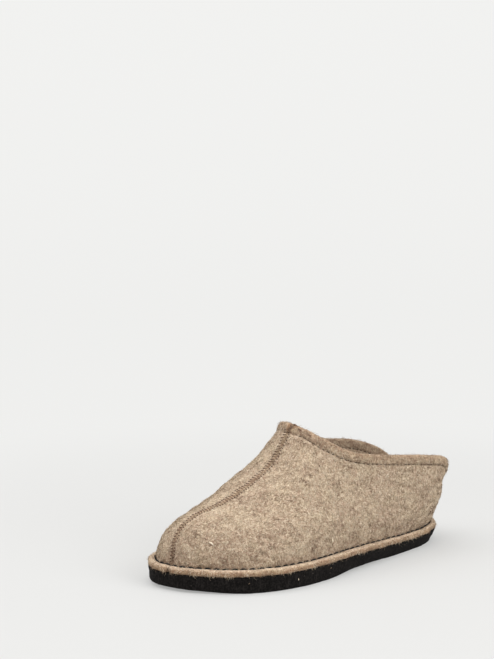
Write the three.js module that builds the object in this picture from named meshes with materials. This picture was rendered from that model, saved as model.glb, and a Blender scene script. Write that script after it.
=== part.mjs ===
// Felt house slipper, left shoe, built in millimetres.
// +X points to the outer side, the toe points to -Y and +Z is up.
// The origin is at the bottom centre of the whole box.
import * as THREE from 'three';

// Driving dimensions, mm
const LENGTH = 266.5;         // toe edge to heel edge of the sole
const BALL_WIDTH = 105;      // widest place of the sole
const THROAT_HEIGHT = 109;   // floor to the peak of the collar
const SOLE_FRONT = 12.2;     // black sole under the ball
const SOLE_HEEL = 10.4;      // black sole under the heel
const TOE_SPRING = 2.2;      // lift of the sole bottom at the toe edge
const WAIST_ARCH = 1.6;      // lift of the sole bottom under the waist
const HEEL_UNDERCUT = 4.2;   // how far the sole bottom lies inside its top edge at the heel
const TOE_UNDERCUT = 0.9;    // the same at the toe
const BOTTOM_ROUND = 1.6;    // rounded lower edge of the sole
const TOP_ROUND = 0.5;       // eased upper edge of the sole
const FELT = 3.6;            // wall of the upper
const FLANGE_WIDTH = 6.2;    // felt turned outwards on the sole, at the toe and ball
const FLANGE_HEEL = 4.8;     // the same round the heel
const FLANGE_THICK = 4.4;    // height of that turned-out edge
const FLANGE_ROUND = 1.3;    // its rounded edge
const FLANGE_BEVEL_HIGH = 0.7; // its lower edge is eased this high
const FLANGE_BEVEL_IN = 0.6; // and this far in
const HEM_WIDTH = 7.4;       // collar rim down to its stitch groove
const HEM_STEP = 0.5;        // the hem is this much prouder than the wall
const HEM_EDGE = 0.9;        // over this length the hem falls to the wall
const GROOVE_DEPTH = 0.55;   // stitch groove of the hem
const GROOVE_PAST = 0.2;     // its middle lies this far below the hem
const GROOVE_WIDTH = 0.8;    // half of its width
const SEAM_DEPTH = 0.7;      // trough of the centre seam
const SEAM_WIDTH = 1.3;      // half of its width
const RIM_FADE = 1.6;        // the relief grows over this length from the rim
const FOOT_FADE = 3;         // and over this height from the foot
const INSOLE_THICK = 4.2;    // felt footbed
const INSOLE_ROUND = 1.2;    // its rounded upper edge
const GAP = 0.3;             // air left between curved pieces that touch

// One row for each rib of the upper, from the toe seam (first) to the back seam (last).
// outer_at, outer_out: where the sole edge runs on the outer side.
// inner_at, inner_out: the same on the inner side.
//   "at" is a share of LENGTH from the toe to the heel, "out" is a share of BALL_WIDTH from the middle line.
// foot_up: straight rise of the wall over the sole, as a share of the rib's height.
// foot_lean: its lean outwards, as a share of BALL_WIDTH.
const EDGE = [
  // outer_at outer_out inner_at inner_out foot_up foot_lean
  [0.0078, 0.000, 0.0078, 0.000, 0.50, 0.006],
  [0.0302, 0.133, 0.0009, 0.135, 0.47, 0.008],
  [0.0756, 0.267, 0.0261, 0.285, 0.44, 0.010],
  [0.1220, 0.371, 0.0867, 0.400, 0.40, 0.014],
  [0.1775, 0.452, 0.1584, 0.455, 0.36, 0.018],
  [0.2411, 0.510, 0.2411, 0.472, 0.34, 0.022],
  [0.3158, 0.533, 0.3320, 0.452, 0.34, 0.024],
  [0.3986, 0.524, 0.4279, 0.414, 0.36, 0.026],
  [0.4884, 0.490, 0.5238, 0.376, 0.36, 0.030],
  [0.5863, 0.446, 0.6176, 0.350, 0.36, 0.040],
  [0.6913, 0.396, 0.7054, 0.338, 0.38, 0.056],
  [0.7862, 0.352, 0.7882, 0.330, 0.40, 0.074],
  [0.8720, 0.304, 0.8720, 0.304, 0.42, 0.090],
  [0.9437, 0.220, 0.9437, 0.226, 0.44, 0.094],
  [0.9850, 0.115, 0.9850, 0.118, 0.46, 0.084],
  [0.9992, 0.000, 0.9992, 0.000, 0.46, 0.076],
];

// Top of the ribs, in the same rows. Up to the throat's row, the highest one, they lie on the centre seam.
// Behind it they lie on the collar rim.
// top_at: share of LENGTH, outer and inner side. top_high: share of THROAT_HEIGHT, outer and inner side.
// top_out: share of BALL_WIDTH, outer and inner side.
// reach: how far the rib runs level to its side before it falls.
// slide: how far it runs forwards along the seam.
//   Both are shares of BALL_WIDTH, outer and inner side.
// tilt: slope of the vamp next to the seam, down to the outer side and up to the inner side.
// drop: fall over the reach, a share of the rib's height.
const TOP = [
  // at_outer at_inner high_outer high_inner out_outer out_inner reach_outer reach_inner
  //   slide_outer slide_inner tilt_outer tilt_inner drop
  [0.1133, 0.1133, 0.4817, 0.4817, 0.000, 0.000, 0.000, 0.000, 0.138, 0.138, 0.00, 0.00, 0.02],
  [0.1358, 0.1358, 0.4917, 0.4917, 0.000, 0.000, 0.105, 0.112, 0.155, 0.168, 0.02, 0.03, 0.02],
  [0.1734, 0.1734, 0.5092, 0.5092, 0.000, 0.000, 0.185, 0.205, 0.115, 0.140, 0.04, 0.06, 0.02],
  [0.2184, 0.2184, 0.5376, 0.5376, 0.000, 0.000, 0.235, 0.275, 0.075, 0.095, 0.07, 0.10, 0.02],
  [0.2634, 0.2634, 0.5798, 0.5798, 0.000, 0.000, 0.255, 0.325, 0.035, 0.050, 0.10, 0.16, 0.02],
  [0.3159, 0.3159, 0.6459, 0.6459, 0.000, 0.000, 0.260, 0.355, 0.010, 0.015, 0.11, 0.22, 0.02],
  [0.3760, 0.3760, 0.7450, 0.7450, 0.000, 0.000, 0.250, 0.355, 0.000, 0.000, 0.10, 0.27, 0.02],
  [0.4503, 0.4503, 1.0000, 1.0000, 0.000, 0.000, 0.215, 0.260, 0.000, 0.000, 0.06, 0.10, 0.02],
  [0.4623, 0.4574, 0.9752, 0.9963, 0.124, 0.124, 0.135, 0.150, 0.000, 0.000, 0.00, 0.00, 0.10],
  [0.4961, 0.4904, 0.9083, 0.9294, 0.233, 0.233, 0.065, 0.065, 0.000, 0.000, 0.00, 0.00, 0.26],
  [0.5734, 0.5674, 0.8073, 0.8239, 0.314, 0.314, 0.025, 0.025, 0.000, 0.000, 0.00, 0.00, 0.34],
  [0.6912, 0.6882, 0.7523, 0.7761, 0.346, 0.346, 0.010, 0.010, 0.000, 0.000, 0.00, 0.00, 0.36],
  [0.8413, 0.8113, 0.7064, 0.7303, 0.354, 0.346, 0.004, 0.004, 0.000, 0.000, 0.00, 0.00, 0.36],
  [0.9501, 0.9032, 0.6495, 0.6468, 0.328, 0.310, 0.000, 0.000, 0.000, 0.000, 0.00, 0.00, 0.36],
  [0.9869, 0.9707, 0.5229, 0.5092, 0.181, 0.195, 0.000, 0.000, 0.000, 0.000, 0.00, 0.00, 0.36],
  [0.9970, 0.9970, 0.4633, 0.4633, 0.000, 0.000, 0.000, 0.000, 0.000, 0.000, 0.00, 0.00, 0.36],
];
const ROWS = EDGE.length;
// The row at the peak of the collar.
const THROAT = TOP.reduce((best, row, i) => (row[2] > TOP[best][2] ? i : best), 0);
const LAST = ROWS - 1;

// Sampling
const RIB_AT = ribPlaces();
// mm down a rib from the collar rim, and from the centre seam
const NEAR_RIM = [0, 0.3, 1.0, 1.9, 3.4, HEM_WIDTH - GROOVE_WIDTH, HEM_WIDTH + 0.1, HEM_WIDTH + 1.2];
const NEAR_SEAM = [0, 1.2, 2.4, 3.6, 4.8, 6.2, 7.6, 9.2];
const DOWN_STEPS = 8;        // even steps from there to the foot
const INNER_ROWS = [0, 1, 2, 3, 5, 8, 9, 11, 12, 13, 14, 15]; // rows that the inside keeps
const RIB_FINE = 48;         // straight steps used to measure a rib
const NORMAL_PASSES = 5;     // evening of the surface normals
const RIM_FINE = 400;        // straight steps used to measure the distance to the rim
const SEAM_FINE = 200;       // the same for the seam over the vamp
const TOE_FINE = 60;         // and for the seam down the toe

function ribPlaces() {
  const t = [];
  for (let i = 0; i < 5; i++) t.push(i, i + 0.25, i + 0.5, i + 0.75);
  t.push(5, 5.25, 5.5, 5.75, 6, 6.25, 6.5, 6.7, 6.85, 6.94, 6.98);
  t.push(7, 7.12, 7.26, 7.42, 7.6, 7.8, 8, 8.25, 8.5, 8.75);
  for (let i = 9; i < 12; i++) t.push(i, i + 1 / 3, i + 2 / 3);
  for (let i = 12; i < 15; i++) t.push(i, i + 0.25, i + 0.5, i + 0.75);
  return t;
}

// Curves
const V = (x, y, z = 0) => new THREE.Vector3(x, y, z);
const placeY = (share) => (share - 0.5) * LENGTH;
const smooth = (a, b, x) => {
  const k = Math.min(1, Math.max(0, (x - a) / (b - a)));
  return k * k * (3 - 2 * k);
};

// Uniform cubic through the rows of a column. Both ends are mirrored, or turned over when odd is true.
function column(values, t, oddStart = false) {
  const n = values.length;
  const pick = (i) => {
    if (i < 0) return oddStart ? 2 * values[0] - values[-i] : values[-i];
    if (i >= n) return values[2 * n - 2 - i];
    return values[i];
  };
  const i = Math.min(n - 2, Math.floor(t));
  const u = t - i;
  const [a, b, c, d] = [pick(i - 1), pick(i), pick(i + 1), pick(i + 2)];
  const square = 2 * a - 5 * b + 4 * c - d;
  const cube = 3 * b - a - 3 * c + d;
  return 0.5 * (2 * b + (c - a) * u + square * u * u + cube * u * u * u);
}
const colOf = (table, k) => table.map((row) => row[k]);

// The sole edge as one closed curve: outer side forwards through the rows, inner side back.
const edgePoints = [];
for (let i = 0; i < ROWS; i++) edgePoints.push(V(EDGE[i][1] * BALL_WIDTH, placeY(EDGE[i][0])));
for (let i = LAST - 1; i > 0; i--) edgePoints.push(V(-EDGE[i][3] * BALL_WIDTH, placeY(EDGE[i][2])));
const edgeCurve = new THREE.CatmullRomCurve3(edgePoints, true, 'centripetal');
const LOOP = edgePoints.length;
const onLoop = (side, t) => (side > 0 ? t : LOOP - t) / LOOP;

function edgeAt(side, t) {
  const u = onLoop(side, t);
  const p = edgeCurve.getPoint(((u % 1) + 1) % 1);
  const a = edgeCurve.getPoint((u - 0.0015 + 1) % 1);
  const b = edgeCurve.getPoint((u + 0.0015) % 1);
  // Outwards, as the loop runs anticlockwise seen from above.
  const n = V(b.y - a.y, a.x - b.x).normalize();
  return { p, n };
}

// The collar rim as one closed curve: throat, outer side, back, inner side.
const outerRim = (row) => V(row[4] * BALL_WIDTH, placeY(row[0]), row[2] * THROAT_HEIGHT);
const innerRim = (row) => V(-row[5] * BALL_WIDTH, placeY(row[1]), row[3] * THROAT_HEIGHT);
const rimPoints = [];
for (let i = THROAT; i < ROWS; i++) rimPoints.push(outerRim(TOP[i]));
for (let i = LAST - 1; i > THROAT; i--) rimPoints.push(innerRim(TOP[i]));
const rimCurve = new THREE.CatmullRomCurve3(rimPoints, true, 'centripetal');
function rimAt(side, t) {
  const u = (t - THROAT) / rimPoints.length;
  return rimCurve.getPoint(side > 0 ? u : (1 - u) % 1);
}

// The centre seam over the vamp, from the toe box to the throat.
const ridgeCurve = new THREE.CatmullRomCurve3(
  TOP.slice(0, THROAT + 1).map((r) => V(0, placeY(r[0]), r[2] * THROAT_HEIGHT)), false, 'centripetal');
const ridgeAt = (t) => ridgeCurve.getPoint(Math.min(1, Math.max(0, t / THROAT)));

// The sole
const bottomAt = (y) => {
  const s = y / LENGTH + 0.5;
  const spring = TOE_SPRING * (1 - smooth(0, 0.16, s));
  const arch = WAIST_ARCH * smooth(0.42, 0.55, s) * (1 - smooth(0.60, 0.74, s));
  return spring + arch;
};
const topAt = (y) => {
  const s = y / LENGTH + 0.5;
  const thick = SOLE_FRONT + (SOLE_HEEL - SOLE_FRONT) * smooth(0.35, 0.80, s);
  const arch = 0.5 * WAIST_ARCH * smooth(0.36, 0.55, s) * (1 - smooth(0.60, 0.80, s));
  return thick + 0.3 * TOE_SPRING * (1 - smooth(0, 0.16, s)) + arch;
};
const undercutAt = (y) => TOE_UNDERCUT + (HEEL_UNDERCUT - TOE_UNDERCUT) * smooth(0.30, 0.75, y / LENGTH + 0.5);

// The upper's surface rule
const flangeAt = (y) => FLANGE_WIDTH + (FLANGE_HEEL - FLANGE_WIDTH) * smooth(0.55, 0.90, y / LENGTH + 0.5);
const footZ = (y) => topAt(y) + GAP + FLANGE_THICK;
function rib(side, t) {
  const { p, n } = edgeAt(side, t);
  const foot = V(p.x - n.x * flangeAt(p.y), p.y - n.y * flangeAt(p.y));
  foot.z = footZ(foot.y);
  const inVamp = t <= THROAT;
  const top = inVamp ? ridgeAt(t) : rimAt(side, t);
  const high = top.z - foot.z;
  const along = V(0, 0, 0);
  const behind = Math.max(0, t - 0.02);
  if (inVamp) along.copy(ridgeAt(behind).sub(ridgeAt(behind + 0.04))).normalize();
  const turn = smooth(THROAT, THROAT + 2.5, t);
  const sideDir = V(side * (1 - turn) + n.x * turn, n.y * turn).normalize();
  const up = column(colOf(EDGE, 4), t) * high;
  const lean = column(colOf(EDGE, 5), t) * BALL_WIDTH;
  const reach = Math.max(0, column(colOf(TOP, side > 0 ? 6 : 7), t, true)) * BALL_WIDTH;
  const slide = column(colOf(TOP, side > 0 ? 8 : 9), t) * BALL_WIDTH;
  const drop = column(colOf(TOP, 12), t) * high + side * reach * column(colOf(TOP, side > 0 ? 10 : 11), t);
  const h1 = V(foot.x + n.x * lean, foot.y + n.y * lean, foot.z + up);
  const h2 = top.clone().addScaledVector(sideDir, reach).addScaledVector(along, slide);
  h2.z -= drop;
  return new THREE.CubicBezierCurve3(foot, h1, h2, top);
}

// Points of a rib, from its top down to its foot.
function ribPoints(side, t) {
  const curve = rib(side, t);
  const fine = [];
  for (let i = 0; i <= RIB_FINE; i++) fine.push(curve.getPoint(1 - i / RIB_FINE));
  const run = [0];
  for (let i = 1; i <= RIB_FINE; i++) run.push(run[i - 1] + fine[i].distanceTo(fine[i - 1]));
  const total = run[RIB_FINE];
  const k0 = smooth(THROAT - 1.5, THROAT - 0.2, t);
  const want = NEAR_RIM.map((d, i) => NEAR_SEAM[i] + (d - NEAR_SEAM[i]) * k0);
  const start = want[want.length - 1];
  for (let i = 1; i <= DOWN_STEPS; i++) want.push(start + (total - start) * (i / DOWN_STEPS));
  const out = [];
  let k = 0;
  for (const w of want) {
    while (k < RIB_FINE - 1 && run[k + 1] < w) k++;
    out.push(fine[k].clone().lerp(fine[k + 1], Math.min(1, (w - run[k]) / (run[k + 1] - run[k]))));
  }
  return out;
}

// Ribs round the shoe: outer side from the toe to the back, then the inner side from the back to the toe.
const LOOPS = [];
for (const t of RIB_AT) LOOPS.push([1, t]);
LOOPS.push([1, LAST]);
for (let i = RIB_AT.length - 1; i > 0; i--) LOOPS.push([-1, RIB_AT[i]]);
const N = LOOPS.length;
const grid = LOOPS.map(([s, t]) => ribPoints(s, t));
const K = grid[0].length;

// A small mesh keeper: equal points become one.
class Solid {
  constructor() {
    this.keys = new Map();
    this.points = [];
    this.faces = [];
  }
  at(p) {
    const key = `${Math.round(p.x * 1e4)},${Math.round(p.y * 1e4)},${Math.round(p.z * 1e4)}`;
    if (!this.keys.has(key)) {
      this.keys.set(key, this.points.length);
      this.points.push(p.clone());
    }
    return this.keys.get(key);
  }
  tri(a, b, c) {
    if (a !== b && b !== c && a !== c) this.faces.push([a, b, c]);
  }
  // Two triangles, split on the shorter diagonal.
  quad(a, b, c, d) {
    const P = this.points;
    if (P[a].distanceToSquared(P[c]) <= P[b].distanceToSquared(P[d])) {
      this.tri(a, b, c);
      this.tri(a, c, d);
    } else {
      this.tri(a, b, d);
      this.tri(b, c, d);
    }
  }
  // Strip between chains of neighbouring columns. Chains hold point numbers.
  sweep(chains) {
    for (let j = 0; j < chains.length; j++) {
      const A = chains[j];
      const B = chains[(j + 1) % chains.length];
      for (let k = 0; k + 1 < A.length; k++) this.quad(A[k], A[k + 1], B[k + 1], B[k]);
    }
  }
  // Fan of rungs that closes a loop whose columns match LOOPS. flip turns it over.
  ladder(ring, flip) {
    const add = (a, b, c) => (flip ? this.tri(a, c, b) : this.tri(a, b, c));
    const half = N / 2;
    for (let i = 0; i < half; i++) {
      const a = ring[i];
      const b = ring[i + 1];
      const c = ring[(N - i - 1) % N];
      const d = ring[(N - i) % N];
      add(a, b, c);
      if (i > 0) add(a, c, d);
    }
  }
  volume() {
    let v = 0;
    for (const [a, b, c] of this.faces) {
      v += this.points[a].dot(this.points[b].clone().cross(this.points[c])) / 6;
    }
    return v;
  }
  geometry(shift) {
    if (this.volume() < 0) this.faces = this.faces.map(([a, b, c]) => [a, c, b]);
    const g = new THREE.BufferGeometry();
    const places = this.points.flatMap((p) => [p.x + shift.x, p.y + shift.y, p.z + shift.z]);
    g.setAttribute('position', new THREE.Float32BufferAttribute(places, 3));
    g.setIndex(this.faces.flat());
    g.computeVertexNormals();
    return g;
  }
}

// Outward normals of the upper's surface
const base = new Solid();
const baseIds = grid.map((col) => col.map((p) => base.at(p)));
base.sweep(baseIds);
const normals = base.points.map(() => V(0, 0, 0));
for (const [a, b, c] of base.faces) {
  const n = base.points[b].clone().sub(base.points[a]).cross(base.points[c].clone().sub(base.points[a]));
  for (const i of [a, b, c]) normals[i].add(n);
}
const middle = V(0, 0, 0.37 * THROAT_HEIGHT);
let facing = 0;
base.points.forEach((p, i) => { facing += normals[i].dot(p.clone().sub(middle)); });
normals.forEach((n) => n.normalize().multiplyScalar(facing < 0 ? -1 : 1));
// Evened out with their neighbours, so that the inside of the felt stays smooth where the ribs crowd.
for (let pass = 0; pass < NORMAL_PASSES; pass++) {
  const sum = normals.map((n) => n.clone().multiplyScalar(2));
  for (const [a, b, c] of base.faces) {
    sum[a].add(normals[b]).add(normals[c]);
    sum[b].add(normals[a]).add(normals[c]);
    sum[c].add(normals[a]).add(normals[b]);
  }
  sum.forEach((n, i) => normals[i].copy(n.normalize()));
}

// Relief: distances to the rim and to the seam
const rimLine = [];
for (let i = 0; i < RIM_FINE; i++) rimLine.push(rimCurve.getPoint(i / RIM_FINE));
const seamLine = [];
for (let i = 0; i <= SEAM_FINE; i++) seamLine.push(ridgeCurve.getPoint(i / SEAM_FINE));
for (let i = 1; i <= TOE_FINE; i++) seamLine.push(rib(1, 0).getPoint(1 - i / TOE_FINE));
const distance = (p, line) => {
  let best = Infinity;
  for (let i = 0; i + 1 < line.length; i++) {
    const ab = line[i + 1].clone().sub(line[i]);
    const k = Math.min(1, Math.max(0, p.clone().sub(line[i]).dot(ab) / Math.max(1e-9, ab.lengthSq())));
    best = Math.min(best, line[i].clone().addScaledVector(ab, k).distanceToSquared(p));
  }
  return Math.sqrt(best);
};
rimLine.push(rimLine[0]);
const bump = (x, width) => Math.exp(-((x / width) ** 2));
const half = FELT / 2;
// The rim is rounded to the middle of the felt.
const roundOff = (d) => {
  const k = Math.min(1, d / half);
  return half * (1 - Math.sqrt(Math.max(0, 1 - (1 - k) ** 2)));
};

// Upper
const upper = new Solid();
const chains = LOOPS.map(([side, t], j) => {
  const outside = [];
  const inside = [];
  for (let k = 0; k < K; k++) {
    const id = baseIds[j][k];
    const p = base.points[id];
    const n = normals[id];
    const toRim = t >= THROAT && k === 0 ? 0 : distance(p, rimLine);
    const toSeam = distance(p, seamLine);
    const step = HEM_STEP * (1 - smooth(HEM_WIDTH - HEM_EDGE, HEM_WIDTH, toRim));
    const hem = step - GROOVE_DEPTH * bump(toRim - HEM_WIDTH - GROOVE_PAST, GROOVE_WIDTH);
    const fade = smooth(0, RIM_FADE, toRim) * smooth(0, FOOT_FADE, p.z - footZ(p.y));
    const out = hem * fade - SEAM_DEPTH * bump(toSeam, SEAM_WIDTH) * fade - roundOff(toRim);
    outside.push(upper.at(p.clone().addScaledVector(n, out)));
    if (INNER_ROWS.includes(k)) inside.push(upper.at(p.clone().addScaledVector(n, -FELT + roundOff(toRim))));
  }
  const { p: edge, n: out } = edgeAt(side, t);
  const zLow = topAt(edge.y) + GAP;
  const zUp = zLow + FLANGE_THICK;
  const at = (inset, z) => upper.at(V(edge.x - out.x * inset, edge.y - out.y * inset, z));
  const r = FLANGE_ROUND;
  const innerFoot = upper.points[inside[inside.length - 1]];
  const chain = outside.slice();
  chain.push(at(r, zUp));
  chain.push(at(0.3 * r, zUp - 0.3 * r));
  chain.push(at(0, zUp - r));
  chain.push(at(0, zLow + FLANGE_BEVEL_HIGH));
  chain.push(at(FLANGE_BEVEL_IN, zLow));
  chain.push(upper.at(V(innerFoot.x, innerFoot.y, topAt(innerFoot.y) + GAP)));
  return chain.concat(inside.reverse());
});
upper.sweep(chains);

// Outsole
const outsole = new Solid();
const soleChains = LOOPS.map(([side, t]) => {
  const { p, n } = edgeAt(side, t);
  const cut = undercutAt(p.y);
  const at = (inset, z) => outsole.at(V(p.x - n.x * inset, p.y - n.y * inset, z));
  const zb = bottomAt(p.y);
  const zt = topAt(p.y);
  const r = BOTTOM_ROUND;
  return [
    at(TOP_ROUND, zt),
    at(0.2 * TOP_ROUND, zt - TOP_ROUND),
    at(0.45 * cut, (zt + zb) / 2),
    at(cut, zb + r),
    at(cut + 0.3 * r, zb + 0.3 * r),
    at(cut + r, zb),
  ];
});
outsole.sweep(soleChains);
outsole.ladder(soleChains.map((c) => c[0]), false);
outsole.ladder(soleChains.map((c) => c[c.length - 1]), true);

// Insole
const insole = new Solid();
const insoleChains = LOOPS.map(([side, t]) => {
  const { p, n } = edgeAt(side, t);
  const inset = flangeAt(p.y) + FELT + 2 * GAP;
  const at = (more, z) => insole.at(V(p.x - n.x * (inset + more), p.y - n.y * (inset + more), z));
  const low = topAt(p.y) + GAP;
  const r = INSOLE_ROUND;
  const high = low + INSOLE_THICK;
  return [at(r, high), at(0.3 * r, high - 0.3 * r), at(0, high - r), at(0, low)];
});
insole.sweep(insoleChains);
insole.ladder(insoleChains.map((c) => c[0]), false);
insole.ladder(insoleChains.map((c) => c[c.length - 1]), true);

// Everything is placed with the origin at the bottom centre.
const solids = { outsole, upper, insole };
const box = new THREE.Box3();
for (const s of Object.values(solids)) s.points.forEach((p) => box.expandByPoint(p));
const shift = V(-(box.min.x + box.max.x) / 2, -(box.min.y + box.max.y) / 2, -box.min.z);

function matte(red, green, blue, roughness) {
  const color = new THREE.Color().setRGB(red, green, blue);
  return new THREE.MeshStandardMaterial({ color, roughness, metalness: 0 });
}
const finishes = {
  outsole: matte(0.011, 0.0095, 0.009, 0.9),
  upper: matte(0.49, 0.375, 0.27, 0.95),
  insole: matte(0.36, 0.27, 0.19, 0.95),
};
const root = new THREE.Group();
root.name = 'house_slipper';
for (const [name, solid] of Object.entries(solids)) {
  const mesh = new THREE.Mesh(solid.geometry(shift), finishes[name]);
  mesh.name = name;
  root.add(mesh);
}
export default root;
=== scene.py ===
# %% [markdown]
# # A felt house slipper
# This lesson dresses a plain CAD model of a left house slipper. The real one is a thick grey-brown wool felt
# upper, turned outwards on a black foam rubber sole and sewn down with one long-stitched black thread.
# The CAD model gives the true sizes. Everything that is soft or small is worked out here as a surface:
# points on a grid, computed with numpy, and handed to Blender in one go.

import math

import bpy
import numpy as np
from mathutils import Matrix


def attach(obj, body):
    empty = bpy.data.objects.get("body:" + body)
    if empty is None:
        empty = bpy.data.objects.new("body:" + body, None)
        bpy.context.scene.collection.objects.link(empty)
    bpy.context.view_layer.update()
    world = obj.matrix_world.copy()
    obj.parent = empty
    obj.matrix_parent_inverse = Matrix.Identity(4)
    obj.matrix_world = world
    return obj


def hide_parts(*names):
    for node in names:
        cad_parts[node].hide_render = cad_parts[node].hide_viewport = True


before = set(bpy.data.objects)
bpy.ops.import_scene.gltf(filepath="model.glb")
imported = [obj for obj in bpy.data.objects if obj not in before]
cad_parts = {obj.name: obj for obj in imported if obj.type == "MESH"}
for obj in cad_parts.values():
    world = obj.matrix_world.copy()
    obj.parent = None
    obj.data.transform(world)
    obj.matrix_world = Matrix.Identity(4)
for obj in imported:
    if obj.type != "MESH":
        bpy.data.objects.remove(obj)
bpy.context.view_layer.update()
MM = 0.001
print("CAD nodes:", sorted(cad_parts))

# %% [markdown]
# ## The camera
# The photograph is upright, 494 by 659 pixels. Its camera stands low, on the outer side of the toe, about
# a metre away. The lens is given as a focal length in pixels, which Blender wants in millimetres of sensor.

# %% Place the camera
PHOTO_WIDE = 494
PHOTO_HIGH = 659
FOCAL_PIXELS = 1500.0
SENSOR_MM = 36.0
CAMERA_PLACE = (0.856527, -0.739394, 0.313349)
CAMERA_PITCH = -6.7262
CAMERA_YAW = 51.5631

lens = bpy.data.cameras.new("photo_camera")
lens.sensor_width = SENSOR_MM
lens.lens = SENSOR_MM * FOCAL_PIXELS / PHOTO_HIGH
lens.clip_start = 0.05
lens.clip_end = 60.0
camera = bpy.data.objects.new("photo_camera", lens)
camera.location = CAMERA_PLACE
camera.rotation_euler = (math.radians(90 + CAMERA_PITCH), 0.0, math.radians(CAMERA_YAW))
bpy.context.scene.collection.objects.link(camera)
bpy.context.scene.camera = camera
print("Focal length in mm:", round(lens.lens, 2))


# %% [markdown]
# ## Curves
# A slipper is sewn over a last, so each of its lines is a smooth curve through a few places. Two kinds of
# curve do for all of them: one that passes through points in space, and one that runs down a table column.

# %% Curve helpers
def through(points, share, closed):
    """Smooth curve through points. Each span is a cubic whose end slopes weigh the neighbours by the square
    root of the distance between them, so that it never overshoots between close points."""
    p = np.asarray(points, float)
    count = len(p)
    if closed:
        at = np.mod(np.asarray(share, float), 1.0) * count
        i = np.minimum(np.floor(at).astype(int), count - 1)
        a, b, c, d = p[i - 1], p[i], p[(i + 1) % count], p[(i + 2) % count]
    else:
        at = np.clip(np.asarray(share, float), 0.0, 1.0) * (count - 1)
        i = np.minimum(np.floor(at).astype(int), count - 2)
        ends = np.vstack([2 * p[0] - p[1], p, 2 * p[-1] - p[-2]])
        a, b, c, d = ends[i], ends[i + 1], ends[i + 2], ends[i + 3]
    w = (at - i)[..., None]
    ka, kb, kc = [np.linalg.norm(q - r, axis=-1, keepdims=True) ** 0.5 for q, r in ((b, a), (c, b), (d, c))]
    slope_b = ((b - a) / ka - (c - a) / (ka + kb) + (c - b) / kb) * kb
    slope_c = ((c - b) / kb - (d - b) / (kb + kc) + (d - c) / kc) * kb
    bend = -3 * b + 3 * c - 2 * slope_b - slope_c
    turn = 2 * b - 2 * c + slope_b + slope_c
    return b + slope_b * w + bend * w**2 + turn * w**3


def down_column(values, row, turned=False):
    """Smooth value of a table column at any row between its rows. Past both ends the column is mirrored,
    or turned over before its start, where the value changes sign from one side of the shoe to the other."""
    v = np.asarray(values, float)
    before = 2 * v[0] - v[1] if turned else v[1]
    q = np.concatenate([[before], v, [v[-2]]])
    i = np.clip(np.floor(row).astype(int), 0, len(v) - 2)
    u = row - i
    a, b, c, d = q[i], q[i + 1], q[i + 2], q[i + 3]
    return 0.5 * (2 * b + (c - a) * u + (2 * a - 5 * b + 4 * c - d) * u**2 + (3 * b - a - 3 * c + d) * u**3)


def ease(low, high, x):
    """0 below low, 1 above high, and between them three times the square less twice the cube."""
    k = np.clip((np.asarray(x, float) - low) / (high - low), 0.0, 1.0)
    return k * k * (3 - 2 * k)


def unit(v):
    """Each vector divided by its length."""
    return v / np.maximum(np.linalg.norm(v, axis=-1, keepdims=True), 1e-12)


print("Half way along a quarter circle:", through([(1, 0, 0), (0.7, 0.7, 0), (0, 1, 0)], 0.5, False))

# %% [markdown]
# ## The table of the last
# Sixteen ribs run round each side, from the toe seam (row 0) to the back seam (row 15). A rib starts on the
# centre seam, or behind the throat on the collar rim, and falls to the sole. These are the numbers of the
# CAD model, in shares of its length, ball width and throat height, so that both describe one slipper.

# %% Sizes and tables
LENGTH = 266.5
BALL_WIDTH = 105.0
THROAT_HEIGHT = 109.0
FRAME_SHIFT = np.array([-3.2379, -0.0791, 0.0])
SOLE_FRONT = 12.2
SOLE_HEEL = 10.4
TOE_SPRING = 2.2
WAIST_ARCH = 1.6
HEEL_UNDERCUT = 4.2
TOE_UNDERCUT = 0.9
FELT = 3.6
FLANGE_WIDTH = 6.2
FLANGE_HEEL = 4.8
FLANGE_THICK = 4.4
GAP = 0.3
THROAT = 7
LAST = 15

# outer_at, outer_out, inner_at, inner_out, foot_up, foot_lean
EDGE = np.array([
    [0.0078, 0.000, 0.0078, 0.000, 0.50, 0.006],
    [0.0302, 0.133, 0.0009, 0.135, 0.47, 0.008],
    [0.0756, 0.267, 0.0261, 0.285, 0.44, 0.010],
    [0.1220, 0.371, 0.0867, 0.400, 0.40, 0.014],
    [0.1775, 0.452, 0.1584, 0.455, 0.36, 0.018],
    [0.2411, 0.510, 0.2411, 0.472, 0.34, 0.022],
    [0.3158, 0.533, 0.3320, 0.452, 0.34, 0.024],
    [0.3986, 0.524, 0.4279, 0.414, 0.36, 0.026],
    [0.4884, 0.490, 0.5238, 0.376, 0.36, 0.030],
    [0.5863, 0.446, 0.6176, 0.350, 0.36, 0.040],
    [0.6913, 0.396, 0.7054, 0.338, 0.38, 0.056],
    [0.7862, 0.352, 0.7882, 0.330, 0.40, 0.074],
    [0.8720, 0.304, 0.8720, 0.304, 0.42, 0.090],
    [0.9437, 0.220, 0.9437, 0.226, 0.44, 0.094],
    [0.9850, 0.115, 0.9850, 0.118, 0.46, 0.084],
    [0.9992, 0.000, 0.9992, 0.000, 0.46, 0.076],
])
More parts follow.
